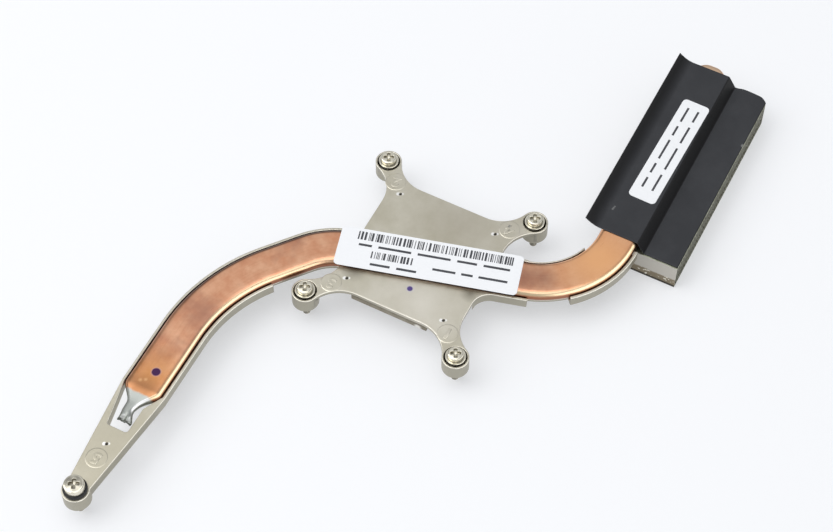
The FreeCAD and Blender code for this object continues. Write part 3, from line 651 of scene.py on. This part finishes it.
def bent_line(corners, radii, step):
    """Points and headings along straight runs joined by arcs that touch them."""
    corners = np.array(corners)
    runs = np.diff(corners, axis=0)
    headings = np.arctan2(runs[:, 1], runs[:, 0])
    points, angles = [corners[:1]], [headings[:1]]
    for corner, radius, before, after in zip(corners[1:-1], radii, headings, headings[1:]):
        side = np.sign(after - before) * math.pi / 2
        inward = (before + after) / 2 + side
        reach = radius / math.cos((after - before) / 2)
        centre = corner + reach * np.array([math.cos(inward), math.sin(inward)])
        turn = np.linspace(before, after, int(radius * abs(after - before) / step))
        points.append(centre + radius * np.stack([np.cos(turn - side), np.sin(turn - side)], axis=1))
        angles.append(turn)
    return np.concatenate([*points, corners[-1:]]), np.concatenate([*angles, headings[-1:]])


bends, bend_headings = bent_line(PIPE_CORNERS, BEND_RADII, BEND_STEP)
print(f"{len(bends)} points from foot to head")

# %% [markdown]
# ## The heat pipe
# The pipe is a profile carried along that path. The profile is a flattened tube, two flats joined by
# half circles, and its width and thickness change along the path: they shrink to a round dome at the
# head and draw down along an S curve to the neck at the foot. The neck was filled, pinched shut by
# hand and tinned, so it has a waist, sways a little to one side and ends in lumps.

# %% Heat pipe
SHOULDER = 5.4
NECK_LENGTH, NECK_WIDTH, NECK_THICKNESS = 3.6, 3.9, 2.4
CRIMP_LENGTH, CRIMP_WIDTH, CRIMP_THICKNESS = 1.2, 4.2, 1.3
NECK_WAIST, WAIST_START = 0.8, 4
NECK_SWAY, SWAY_START, SWAY_LENGTH, SWAY_BACK = 0.45, 1.5, 3.2, 0.6
ROUND_STEPS, FLAT_STEPS, DOME_STEPS, NECK_STEPS = 12, 6, 15, 35
LUMP_SIZE, LUMP_START, LUMP_LENGTH, LUMP_WAVE = 0.3, 2.6, 1.6, 3.4

past = PIPE_WIDTH / 2 * np.sin(np.linspace(0, math.pi / 2, DOME_STEPS + 1))[1:]
dome_width = 2 * np.sqrt(np.maximum((PIPE_WIDTH / 2) ** 2 - past ** 2, 0))
rim = np.clip((past - PIPE_WIDTH / 2) / (PIPE_THICKNESS / 2) + 1, 0, 1)
dome_thickness = PIPE_THICKNESS * np.sqrt(1 - rim ** 2)

before = np.linspace(SHOULDER + NECK_LENGTH + CRIMP_LENGTH, 0, NECK_STEPS + 1)[:-1]
drawn = smooth_step(before / SHOULDER)
pinched = np.clip((before - SHOULDER - NECK_LENGTH) / CRIMP_LENGTH, 0, 1)
foot_width = PIPE_WIDTH + (NECK_WIDTH - PIPE_WIDTH) * drawn + (CRIMP_WIDTH - NECK_WIDTH) * pinched
foot_thickness = PIPE_THICKNESS + (NECK_THICKNESS - PIPE_THICKNESS) * drawn
foot_thickness += (CRIMP_THICKNESS - NECK_THICKNESS) * pinched

waist = np.sin(math.pi * np.clip((before - WAIST_START) / (before[0] - WAIST_START), 0, 1)) ** 2
foot_width -= NECK_WAIST * waist
sway = NECK_SWAY * (smooth_step((before - SHOULDER - SWAY_START) / SWAY_LENGTH) - SWAY_BACK * waist)
neck_line = np.array(PIPE_FOOT) - np.outer(before, (0, 1)) + np.outer(sway, (1, 0))
dome_line = bends[-1] + np.outer(past, (0, 1))
line = np.concatenate([neck_line[:1], neck_line, bends, dome_line])
ahead = math.pi / 2
heading = np.concatenate([np.full(before.size + 1, ahead), bend_headings, np.full(past.size, ahead)])
width = np.concatenate([[0], foot_width, np.full(len(bends), PIPE_WIDTH), dome_width])
thickness = np.concatenate([[0], foot_thickness, np.full(len(bends), PIPE_THICKNESS), dome_thickness])
distance = distance_along(line)

half_turn = np.linspace(-math.pi / 2, math.pi / 2, ROUND_STEPS + 1)
flat = np.linspace(1, -1, FLAT_STEPS + 1)[1:-1]
side = np.concatenate([np.ones(half_turn.size), flat, -np.ones(half_turn.size), -flat])
across = np.concatenate([np.cos(half_turn), 0 * flat, -np.cos(half_turn), 0 * flat])
up = np.concatenate([np.sin(half_turn), 0 * flat + 1, -np.sin(half_turn), 0 * flat - 1])
radius = np.minimum(thickness, width)[:, None] / 2
offset = side * (width[:, None] / 2 - radius) + across * radius
pipe_points = np.stack([
    line[:, :1] - np.sin(heading)[:, None] * offset,
    line[:, 1:] + np.cos(heading)[:, None] * offset, PIPE_MIDDLE + up * radius], axis=-1)
lump = np.zeros(len(line))
lump[1:before.size + 1] = LUMP_SIZE * smooth_step((before - SHOULDER - LUMP_START) / LUMP_LENGTH)
pipe_points[..., 2] += lump[:, None] * np.sin(LUMP_WAVE * offset + line[:, 1:])
pipe_points[..., 1] -= lump[:, None] * np.sin(LUMP_WAVE * offset + 1) ** 2
round_way = np.linspace(0, 2 * (PIPE_WIDTH + PIPE_THICKNESS), side.size)
pipe_map = np.stack(np.broadcast_arrays(distance[:, None], round_way), axis=-1) * MM
pipe = surface("heat_pipe_tube", pipe_points, copper, "carrier", uv=pipe_map)
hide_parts("heat_pipe")
print(f"heat pipe: {distance[-1]:.0f} mm long, {len(pipe.data.polygons)} quads")

# %% [markdown]
# ## Bright steel and the screws
# Each captive screw is turned from steel and nickel plated: a low crowned head with a cross recess, a
# flange that presses on the spring, a plain shank, a groove for the retaining ring and a fine thread.
# A turned piece is a profile swept round its axis. The recess and the thread are then pressed into
# that surface as functions of the angle: the cross sinks the head's top, and the thread moves the
# radius in and out along a helix. Shade is painted into the hollows, into the corner under the head
# and along the thread, and grime onto the worn head of the arm screw, so the UV map carries how dark
# each point is.

# %% Steel materials
def polished(name, bright, dull, low, high):
    """A polished metal whose colour and roughness wander between two values, as handling leaves it."""
    material, place = start_material(name, Metallic=1.0)
    smears = add(material, "ShaderNodeTexNoise", {
        "Vector": place, "Scale": per_size(1.2), "Detail": 2.0})
    colour = add(material, "ShaderNodeMix", {
        SHARE: smears, UNDER: linear(bright), OVER: linear(dull)}, data_type="RGBA")
    gloss = add(material, "ShaderNodeMapRange", {"Value": smears, "To Min": low, "To Max": high})
    shade(material, Base_Color=colour, Roughness=gloss)
    return material, colour


screw_steel, screw_colour = polished("plated_screw_steel", "#F0EBDA", "#D6D0BE", low=0.1, high=0.22)
# The first number of the UV map mixes in a dark brown: painted shade in the hollows and along the thread,
# and grime on the arm screw's worn head.
darkening_uv = add(screw_steel, "ShaderNodeSeparateXYZ", {
    0: add(screw_steel, "ShaderNodeUVMap", uv_map="surface_map")})
shaded_and_grimy_colour = add(screw_steel, "ShaderNodeMix", {
    SHARE: darkening_uv.outputs["X"], UNDER: screw_colour, OVER: linear("#2E2A24")}, data_type="RGBA")
shade(screw_steel, Base_Color=shaded_and_grimy_colour)
spring_steel, _ = polished("spring_steel", "#9A968E", "#7D7970", low=0.25, high=0.4)
ring_steel, _ = polished("phosphated_ring_steel", "#4C4843", "#33302C", low=0.35, high=0.5)
print("materials", screw_steel.name, spring_steel.name, ring_steel.name)

# %% Captive screws
BOSS_BOTTOM = -1.9
RING_SEAT = 0.02
RING_SLOT = 0.5
SHANK_RADIUS = 1.2
GROOVE_RADIUS = 0.8
THREAD_RADIUS = 1.0
THREAD_PITCH = 0.4
THREAD_DEPTH = 0.13
THREAD_START, THREAD_END, THREAD_FADE = 0.15, 0.3, 0.2
TIP_RADIUS, TIP_HEIGHT = 0.6, 0.35
HEAD_HEIGHT = 1.5
HEAD_EDGE, EDGE_ROUND = 0.3, 0.3
HEAD_CROWN = 0.16
FLANGE_THICKNESS = 0.5
FLANGE_EDGE = 0.1
PLATE_HEAD, PLATE_FLANGE, ARM_HEAD = 2.1, 2.7, 2.65
RECESS_SPAN, RECESS_WIDTH, RECESS_DEPTH, RECESS_WALL, RECESS_END = 2.9, 0.95, 1.0, 0.16, 0.3
RECESS_TURN = math.radians(27)
PROFILE_STEP = 0.07
SCREW_STEPS = 96
# How dark the painted shade is in the hollows, on the thread and in its roots, and how far it reaches
# from the corner under the head.
HOLLOW_SHADE, THREAD_SHADE, ROOT_SHADE = 0.7, 0.5, 0.3
CORNER_SHADE_REACH = 0.2
ARM_WEAR, WEAR_RIM, WEAR_PATCHES = 0.5, 0.3, 5


def turned_profile(top, tip, head, flange):
    """Radius and height along a screw's outline in small steps, from its head's middle to its tip."""
    groove_top = BOSS_BOTTOM - RING_SEAT
    groove_bottom = groove_top - RING_SLOT
    rounding = EDGE_ROUND * HEAD_EDGE
    flange_top = top - HEAD_HEIGHT
    flange_bottom = flange_top - FLANGE_THICKNESS
    outline = np.array([
        (0, top), (head - HEAD_EDGE, top), (head - rounding, top - rounding),
        (head, top - HEAD_EDGE), (head, flange_top), (flange - FLANGE_EDGE, flange_top),
        (flange, flange_top - FLANGE_EDGE), (flange, flange_bottom), (SHANK_RADIUS, flange_bottom),
        (SHANK_RADIUS, groove_top), (GROOVE_RADIUS, groove_top), (GROOVE_RADIUS, groove_bottom),
        (THREAD_RADIUS, groove_bottom), (THREAD_RADIUS, tip + TIP_HEIGHT), (TIP_RADIUS, tip), (0, tip)])
    run = distance_along(outline)
    spots = np.unique(np.concatenate([np.arange(0, run[-1], PROFILE_STEP), run]))
    return np.interp(spots, run, outline[:, 0])[:, None], np.interp(spots, run, outline[:, 1])[:, None]


def captive_screw(name, node, body, head, flange, wear):
    """A turned screw with a cross recess and a helical thread, from its solid's place and height.

    Wear is how grimy the top of its head is, from nought to one.
    """
    low, high = corners_of(node)
    x, y = (low[:2] + high[:2]) / 2
    tip, top = low[2], high[2]
    r, z = turned_profile(top, tip, head, flange)
    angle = np.linspace(0, 2 * math.pi, SCREW_STEPS, endpoint=False)[None, :]
    one, two = np.abs(r * np.cos(angle - RECESS_TURN)), np.abs(r * np.sin(angle - RECESS_TURN))
    far, near = np.maximum(one, two), np.minimum(one, two)
    on_top = z > top - MERGE
    arms = smooth_step((RECESS_WIDTH / 2 - near) / RECESS_WALL)
    recess = on_top * arms * smooth_step((RECESS_SPAN / 2 - far) / RECESS_END)
    crown = HEAD_CROWN * (r / head) ** 2 * np.clip((z - top) / HEAD_HEIGHT + 1, 0, 1)
    height = z - crown - recess * RECESS_DEPTH * (1 - far / RECESS_SPAN)
    thread_top = BOSS_BOTTOM - RING_SEAT - RING_SLOT - THREAD_START
    below_top, above_tip = (thread_top - z) / THREAD_FADE, (z - tip - THREAD_END) / THREAD_FADE
    on_thread = smooth_step(below_top) * smooth_step(above_tip)
    wave = on_thread * (0.5 - 0.5 * np.cos(2 * math.pi * z / THREAD_PITCH - angle))
    radius = r - THREAD_DEPTH * wave
    # Painted shade in the corner under the head, in the recess and along the thread and its roots, with
    # grime on the worn head.
    from_corner = ((r - head) ** 2 + (z - top + HEAD_HEIGHT) ** 2) / CORNER_SHADE_REACH ** 2
    corner = np.exp(-from_corner) * (flange > head)
    hollow_shade = HOLLOW_SHADE * np.maximum(recess * np.clip(far, 0.2, 1), corner)
    inside_rim = smooth_step((head - HEAD_EDGE - r) / WEAR_RIM)
    wear_and_highlight = wear * on_top * inside_rim * (0.8 + 0.2 * np.sin(WEAR_PATCHES * angle))
    shade_and_grime = np.maximum(np.maximum(hollow_shade, wear_and_highlight), THREAD_SHADE * on_thread + ROOT_SHADE * wave)
    points = swept(x, y, radius, angle, height)
    screw_map = np.stack([shade_and_grime, 0 * shade_and_grime], axis=-1)
    piece = surface(name, points, screw_steel, body, uv=screw_map)
    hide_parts(node)


for number in PLATE_SCREWS:
    captive_screw(f"plate_screw_{number}", f"screw_{number}", f"captive_screw_{number}",
                  PLATE_HEAD, PLATE_FLANGE, wear=0)
captive_screw("arm_end_screw", "screw_5", "arm_screw", ARM_HEAD, ARM_HEAD, wear=ARM_WEAR)
for number in (*PLATE_SCREWS, ARM_SCREW):
    dress(f"retaining_ring_{number}", ring_steel)
print("5 screws, 5 rings")

# %% [markdown]
# ## Springs
# A spring is a helix with a round wire: one parameter runs along the coil and one round the wire.
# When its screw is pressed home the coil gets shorter.

# %% Springs
SPRING_RADIUS = 2.375
WIRE_RADIUS = 0.225
SPRING_TURNS = 4
TURN_STEPS, WIRE_STEPS = 48, 10

turn = np.linspace(0, SPRING_TURNS, TURN_STEPS * SPRING_TURNS + 1)[:, None] * 2 * math.pi
wire = np.linspace(0, 2 * math.pi, WIRE_STEPS, endpoint=False)[None, :]
wire_size = np.full(turn.shape, WIRE_RADIUS)
wire_size[[0, -1]] = 0
reach = SPRING_RADIUS + wire_size * np.cos(wire)
for number in PLATE_SCREWS:
    low, high = corners_of(f"spring_{number}")
    x, y = (low[:2] + high[:2]) / 2
    length = high[2] - low[2]
    climb = (length - 2 * WIRE_RADIUS) * turn / turn[-1]
    level = low[2] + WIRE_RADIUS + climb + wire_size * np.sin(wire)
    coil = swept(x, y, reach, turn, level)
    spring = surface(f"coil_spring_{number}", coil, spring_steel, "carrier")
    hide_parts(f"spring_{number}")
    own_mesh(spring)
print("4 springs of", SPRING_TURNS, "turns")

# %% [markdown]
# ## Black film
# The fins and the pipe's leg are wrapped in thin black polyester film. It shines softly, shows faint
# smears and is creased where it steps down from the pipe to the fins. Its free flap curls up. Its
# grain is too fine to show, so a coarser noise stands for it.

# %% Film material
FILM_NICKS = [
    ((39.0, 36.0, 4.4), 0.2), ((39.1, 36.5, 4.4), 0.18), ((39.2, 37.0, 4.4), 0.15),
    ((61.3, 74.0, 0.95), 0.5)]
NICK_SOFT = 0.2

film, film_place = start_material("black_polyester_film", IOR=1.6, Specular_IOR_Level=0.18)
smudges = add(film, "ShaderNodeTexNoise", {
    "Vector": film_place, "Scale": per_size(11), "Detail": 5.0, "Roughness": 0.65})
film_grain = add(film, "ShaderNodeTexNoise", {
    "Vector": film_place, "Scale": per_size(0.5), "Detail": 2.0})
smudge_share = add(film, "ShaderNodeMapRange", {"Value": smudges, "From Min": 0.38, "From Max": 0.68})
film_colour = add(film, "ShaderNodeMix", {
    SHARE: smudge_share, UNDER: linear("#333437"), OVER: linear("#3A3B3E")}, data_type="RGBA")
facing = add(film, "ShaderNodeSeparateXYZ", {0: add(film, "ShaderNodeNewGeometry").outputs["Normal"]})
# Painted shade: faces turned towards the fins, the step down and the outer part of the curled flap, are
# mixed towards near black.
step_shade_share = add(film, "ShaderNodeMapRange", {
    "Value": facing.outputs["X"], "From Min": 0.1, "From Max": 0.55, "To Max": 0.95})
film_colour = add(film, "ShaderNodeMix", {
    SHARE: step_shade_share, UNDER: film_colour, OVER: linear("#08080A")}, data_type="RGBA")
for centre, radius in FILM_NICKS:
    film_colour = spot(film, film_place, film_colour, centre, radius, NICK_SOFT, "#8C8C8A", 0.8)
film_gloss = add(film, "ShaderNodeMapRange", {"Value": smudges, "To Min": 0.36, "To Max": 0.58})
film_bump = add(film, "ShaderNodeBump", {"Height": film_grain, "Strength": 0.2, "Distance": 0.03 * MM})
shade(film, Base_Color=film_colour, Roughness=film_gloss, Normal=film_bump)
dress("base_film", film)
print("material", film.name)

# %% Cover film
FILM_THICKNESS = 0.2
FILM_STEP = 2.2
FILM_CUT = (2.4, 1.3)
FAR_BULGE, BULGE_LENGTH = 0.6, 14
RIPPLE, RIPPLE_ALONG, RIPPLE_ACROSS, RIPPLE_SWELL = 0.05, 0.55, 0.4, 0.23
FLAP_STEPS, ACROSS_STEPS, ALONG_STEPS = 24, 190, 200
FIN_BLEND = 3
FIN_TOP = PIPE_TOP - PIPE_THICKNESS
CREASE_WINDOW = 9

low, high = corners_of("cover_film")
pipe_left, pipe_right = (PIPE_CORNERS[-1][0] + sign * PIPE_WIDTH / 2 for sign in (-1, 1))
curl = np.linspace(0, 1, FLAP_STEPS)
flap_rise = high[2] - PIPE_TOP - FILM_THICKNESS
flap = np.stack([low[0] + (pipe_left - low[0]) * curl, PIPE_TOP + flap_rise * (1 - curl) ** 2], axis=1)
film_line = np.concatenate([
    flap, [(pipe_right, PIPE_TOP), (pipe_right + FILM_STEP, FIN_TOP), (high[0], FIN_TOP)]])
run = distance_along(film_line)
stations = np.linspace(0, run[-1], ACROSS_STEPS)
film_x, film_z = (np.interp(stations, run, film_line[:, i]) for i in (0, 1))
window = np.hanning(CREASE_WINDOW) / np.hanning(CREASE_WINDOW).sum()
eased = np.convolve(np.pad(film_z, CREASE_WINDOW // 2, mode="edge"), window, "valid")
film_z = np.maximum(film_z, eased)
corner = np.clip((film_x - high[0]) / FILM_CUT[0] + 1, 0, 1) ** 2
film_y = low[1] + (high[1] - FILM_CUT[1] * corner - low[1]) * np.linspace(0, 1, ALONG_STEPS)[:, None]

on_fins = smooth_step((film_x - pipe_right - FILM_STEP) / FIN_BLEND)
over_fins = np.clip((film_x - pipe_right) / (high[0] - pipe_right), 0, 1)
from_far = np.clip((film_y - high[1]) / BULGE_LENGTH + 1, 0, 1)
bulge = FAR_BULGE * on_fins * from_far ** 2 * np.sin(math.pi * over_fins)
waves = np.sin(RIPPLE_ALONG * film_y + RIPPLE_ACROSS * film_x) * np.sin(RIPPLE_SWELL * film_y)
ripple = RIPPLE * on_fins * (1 + waves)
film_points = np.stack([film_x + 0 * film_y, film_y, film_z + bulge + ripple], axis=-1)
cover = surface("black_cover_film", film_points, film, "carrier", wrap=False, closed=False)
thicken = cover.modifiers.new("film_thickness", "SOLIDIFY")
thicken.thickness = FILM_THICKNESS * MM
thicken.offset = 1.0
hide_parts("cover_film")
print(f"film: {len(cover.data.polygons)} quads")

# %% [markdown]
# ## Fins and block
# The fins are thin aluminium with a yellow green tint where flux was baked on them. The first fin
# shows its flat face: light above and a darker brown below a wavy line, with painted glints in the
# brown, and a painted shade at its foot where it meets the base film. The block under the plate is
# copper below a coat of nickel that flux and heat have dulled, and a bright spot on its near side is
# a painted glint on a bead of solder.

# %% Fin and block materials
BAND_LEVEL, BAND_WAVE, BAND_SOFT = -4.1, 1.0, 0.2
FOOT_LEVEL, FOOT_SOFT = -6.9, 0.2

fin_metal, fin_place = start_material("fin_aluminium", Metallic=1.0, Roughness=0.36)
flux = add(fin_metal, "ShaderNodeTexNoise", {"Vector": fin_place, "Scale": per_size(2.5), "Detail": 4.0})
flux_share = add(fin_metal, "ShaderNodeMapRange", {"Value": flux, "From Min": 0.4, "From Max": 0.62})
side_colour = add(fin_metal, "ShaderNodeMix", {
    SHARE: flux_share, UNDER: linear("#C6C8B2"), OVER: linear("#A2A48A")}, data_type="RGBA")
facing = add(fin_metal, "ShaderNodeSeparateXYZ", {
    0: add(fin_metal, "ShaderNodeNewGeometry").outputs["Normal"]})
endwise = add(fin_metal, "ShaderNodeMath", {0: facing.outputs["Y"]}, operation="ABSOLUTE")
end_share = add(fin_metal, "ShaderNodeMath", {0: endwise, 1: 0.9}, operation="GREATER_THAN")
position = add(fin_metal, "ShaderNodeSeparateXYZ", {0: fin_place})
# Below a wavy line the first fin's face turns a darker brown.
waved = add(fin_metal, "ShaderNodeMath", {
    0: flux, 1: BAND_WAVE * MM, 2: position.outputs["Z"]}, operation="MULTIPLY_ADD")
lower_band = add(fin_metal, "ShaderNodeMapRange", {
    "Value": waved,
    "From Min": (BAND_LEVEL + BAND_SOFT) * MM, "From Max": (BAND_LEVEL - BAND_SOFT) * MM})
# Painted highlight: sparse glints in the brown band.
glint_noise = add(fin_metal, "ShaderNodeTexNoise", {"Vector": fin_place, "Scale": per_size(0.9), "Detail": 1.0})
glint_share = add(fin_metal, "ShaderNodeMapRange", {"Value": glint_noise, "From Min": 0.6, "From Max": 0.68})
lower_band_colour = add(fin_metal, "ShaderNodeMix", {
    SHARE: glint_share, UNDER: linear("#857A66"), OVER: linear("#E4E0D2")}, data_type="RGBA")
end_colour = add(fin_metal, "ShaderNodeMix", {
    SHARE: lower_band, UNDER: linear("#C0BCB3"), OVER: lower_band_colour}, data_type="RGBA")
# Painted shade at the first fin's foot, where it meets the black base film.
foot_shade_share = add(fin_metal, "ShaderNodeMapRange", {
    "Value": position.outputs["Z"], "To Max": 0.9,
    "From Min": FOOT_LEVEL * MM, "From Max": (FOOT_LEVEL - FOOT_SOFT) * MM})
foot_shaded = add(fin_metal, "ShaderNodeMix", {
    SHARE: foot_shade_share, UNDER: end_colour, OVER: linear("#2B2822")}, data_type="RGBA")
fin_colour = add(fin_metal, "ShaderNodeMix", {
    SHARE: end_share, UNDER: side_colour, OVER: foot_shaded}, data_type="RGBA")
shade(fin_metal, Base_Color=fin_colour)
dress("fin_pack", fin_metal)

block_near = corners_of("contact_block")[0][1]
block_metal, block_place = start_material("dull_block_plating", Metallic=1.0, Roughness=0.5)
dulling = add(block_metal, "ShaderNodeTexNoise", {
    "Vector": block_place, "Scale": per_size(3), "Detail": 5.0})
dull_share = add(block_metal, "ShaderNodeMapRange", {
    "Value": dulling, "From Min": 0.35, "From Max": 0.65})
block_colour = add(block_metal, "ShaderNodeMix", {
    SHARE: dull_share, UNDER: linear("#9C9687"), OVER: linear("#878071")}, data_type="RGBA")
# Painted glint: a bright spot on the block's near side stands for light off a bead of solder.
solder_glint = ((8.5, block_near, 0.3), 0.9, 0.4, "#F4F2EC", 0.9)
shade(block_metal, Base_Color=spot(block_metal, block_place, block_colour, *solder_glint))
dress("contact_block", block_metal)
print("materials", fin_metal.name, block_metal.name)

# %% [markdown]
# ## Paper labels and rubber
# Both labels are white coated paper, whose fibres are too fine to show, so a coarser noise stands for
# them. The washer under the arm screw is black rubber, with dust in its pores. Paper, rubber and ink
# differ in their two colours and in the size of their specks, so one function makes all three.

# %% Labels and washer
WASHER_EDGE = 0.25


def speckled(name, colour, other, roughness, size, detail):
    """A dull material whose colour wanders between two in specks of this size in millimetres."""
    material, place = start_material(name, Roughness=roughness)
    specks = add(material, "ShaderNodeTexNoise", {
        "Vector": place, "Scale": per_size(size), "Detail": detail})
    mixed = add(material, "ShaderNodeMix", {
        SHARE: specks, UNDER: linear(colour), OVER: linear(other)}, data_type="RGBA")
    shade(material, Base_Color=mixed)
    return material


paper = speckled("coated_paper", "#F9FAFB", "#F3F4F6", roughness=0.55, size=0.7, detail=3.0)
rubber = speckled("black_rubber", "#0E0E0E", "#1D1D1C", roughness=0.55, size=0.8, detail=3.0)
ink = speckled("black_print", "#2A2B2F", "#4E4F54", roughness=0.5, size=0.3, detail=2.0)
dress("main_label", paper)
dress("fin_label", paper)
rounded_copy("arm_washer", "rubber_washer", rubber, "carrier", WASHER_EDGE)
print("2 labels, 1 washer")

# %% [markdown]
# ## Print on the paper
# The print is plain: rows of bars and rows of dashes. Each mark is a rectangle with four numbers, two
# along the label from its left end and two across it from its top edge. One array holds them all, and
# it is turned and moved onto the paper, a hair above it.

# %% Label print
INK_LIFT = 0.02
BAR_WIDTHS = (1, 1, 2, 3)
MAIN_LABEL = (49.0, 12.4)
FIN_LABEL = (36.8, 7.8)
FIN_LABEL_HEADING = math.radians(-91.2)
bar_chance = np.random.default_rng(7)


def bars(left, right, top, bottom, count):
    """A row of upright bars and gaps of a few widths, between two places along a label."""
    edges = np.cumsum(bar_chance.choice(BAR_WIDTHS, 2 * count)).astype(float)
    edges = left + (right - left) * (edges - edges[0]) / (edges[-1] - edges[0])
    return np.stack([edges[0::2], edges[1::2], np.full(count, top), np.full(count, bottom)], axis=1)


def dashes(left, right, top, bottom, lengths):
    """A row of dashes with these shares of length, one share apart, between two places on a label."""
    ends = np.cumsum(np.array(lengths) + 1.0) - 1
    starts = np.append(0, ends[:-1] + 1)
    scale = (right - left) / ends[-1]
    level = np.ones(len(lengths))
    return np.stack([left + scale * starts, left + scale * ends, top * level, bottom * level], axis=1)


def print_on(name, node, size, heading, marks):
    """Lay rectangles on a label that is centred on its solid and turned to a heading."""
    along = marks[:, [0, 1, 1, 0]] - size[0] / 2
    across = size[1] / 2 - marks[:, [3, 3, 2, 2]]
    low, high = corners_of(node)
    x, y = (low[:2] + high[:2]) / 2
    points = np.stack([
        x + along * math.cos(heading) - across * math.sin(heading),
        y + along * math.sin(heading) + across * math.cos(heading),
        np.full(along.shape, high[2] + INK_LIFT)], axis=-1)
    corners = np.arange(along.size).reshape(-1, 4)
    mesh = bpy.data.meshes.new(name)
    mesh.from_pydata((points.reshape(-1, 3) * MM).tolist(), [], corners.tolist())
    finish_mesh(name, mesh, ink, "carrier", closed=False)


middle_run = np.array(PIPE_CORNERS[3]) - PIPE_CORNERS[2]
main_marks = np.concatenate([
    bars(4.7, 46.4, 0.9, 3.5, 62),
    dashes(5.4, 46.0, 4.7, 5.4, (2, 5, 5, 3, 4)),
    bars(9.3, 20.4, 6.6, 8.8, 17),
    dashes(9.6, 22.0, 10.3, 11.0, (3, 3)),
    dashes(26.0, 46.0, 8.5, 9.2, (4, 2, 5))])
fin_marks = np.concatenate([
    dashes(2.6, 32.8, 2.1, 2.7, (2, 3, 4, 3)), dashes(2.6, 32.8, 5.1, 5.7, (3, 2, 4, 2, 2))])
main_heading = math.atan2(middle_run[1], middle_run[0])
print_on("main_label_print", "main_label", MAIN_LABEL, main_heading, main_marks)
print_on("fin_label_print", "fin_label", FIN_LABEL, FIN_LABEL_HEADING, fin_marks)
print(f"{len(main_marks) + len(fin_marks)} printed marks")

# %% [markdown]
# ## Measure
# The box of the dressed model is set against the box of its solids, and the largest change of a
# side is printed. The dressed model must stay inside the box of its solids.

# %% Sizes
look_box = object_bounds()
change = np.abs(np.array(cad_box) - np.array(look_box)).max() / MM
print(f"largest change of a side: {change:.3f} mm")
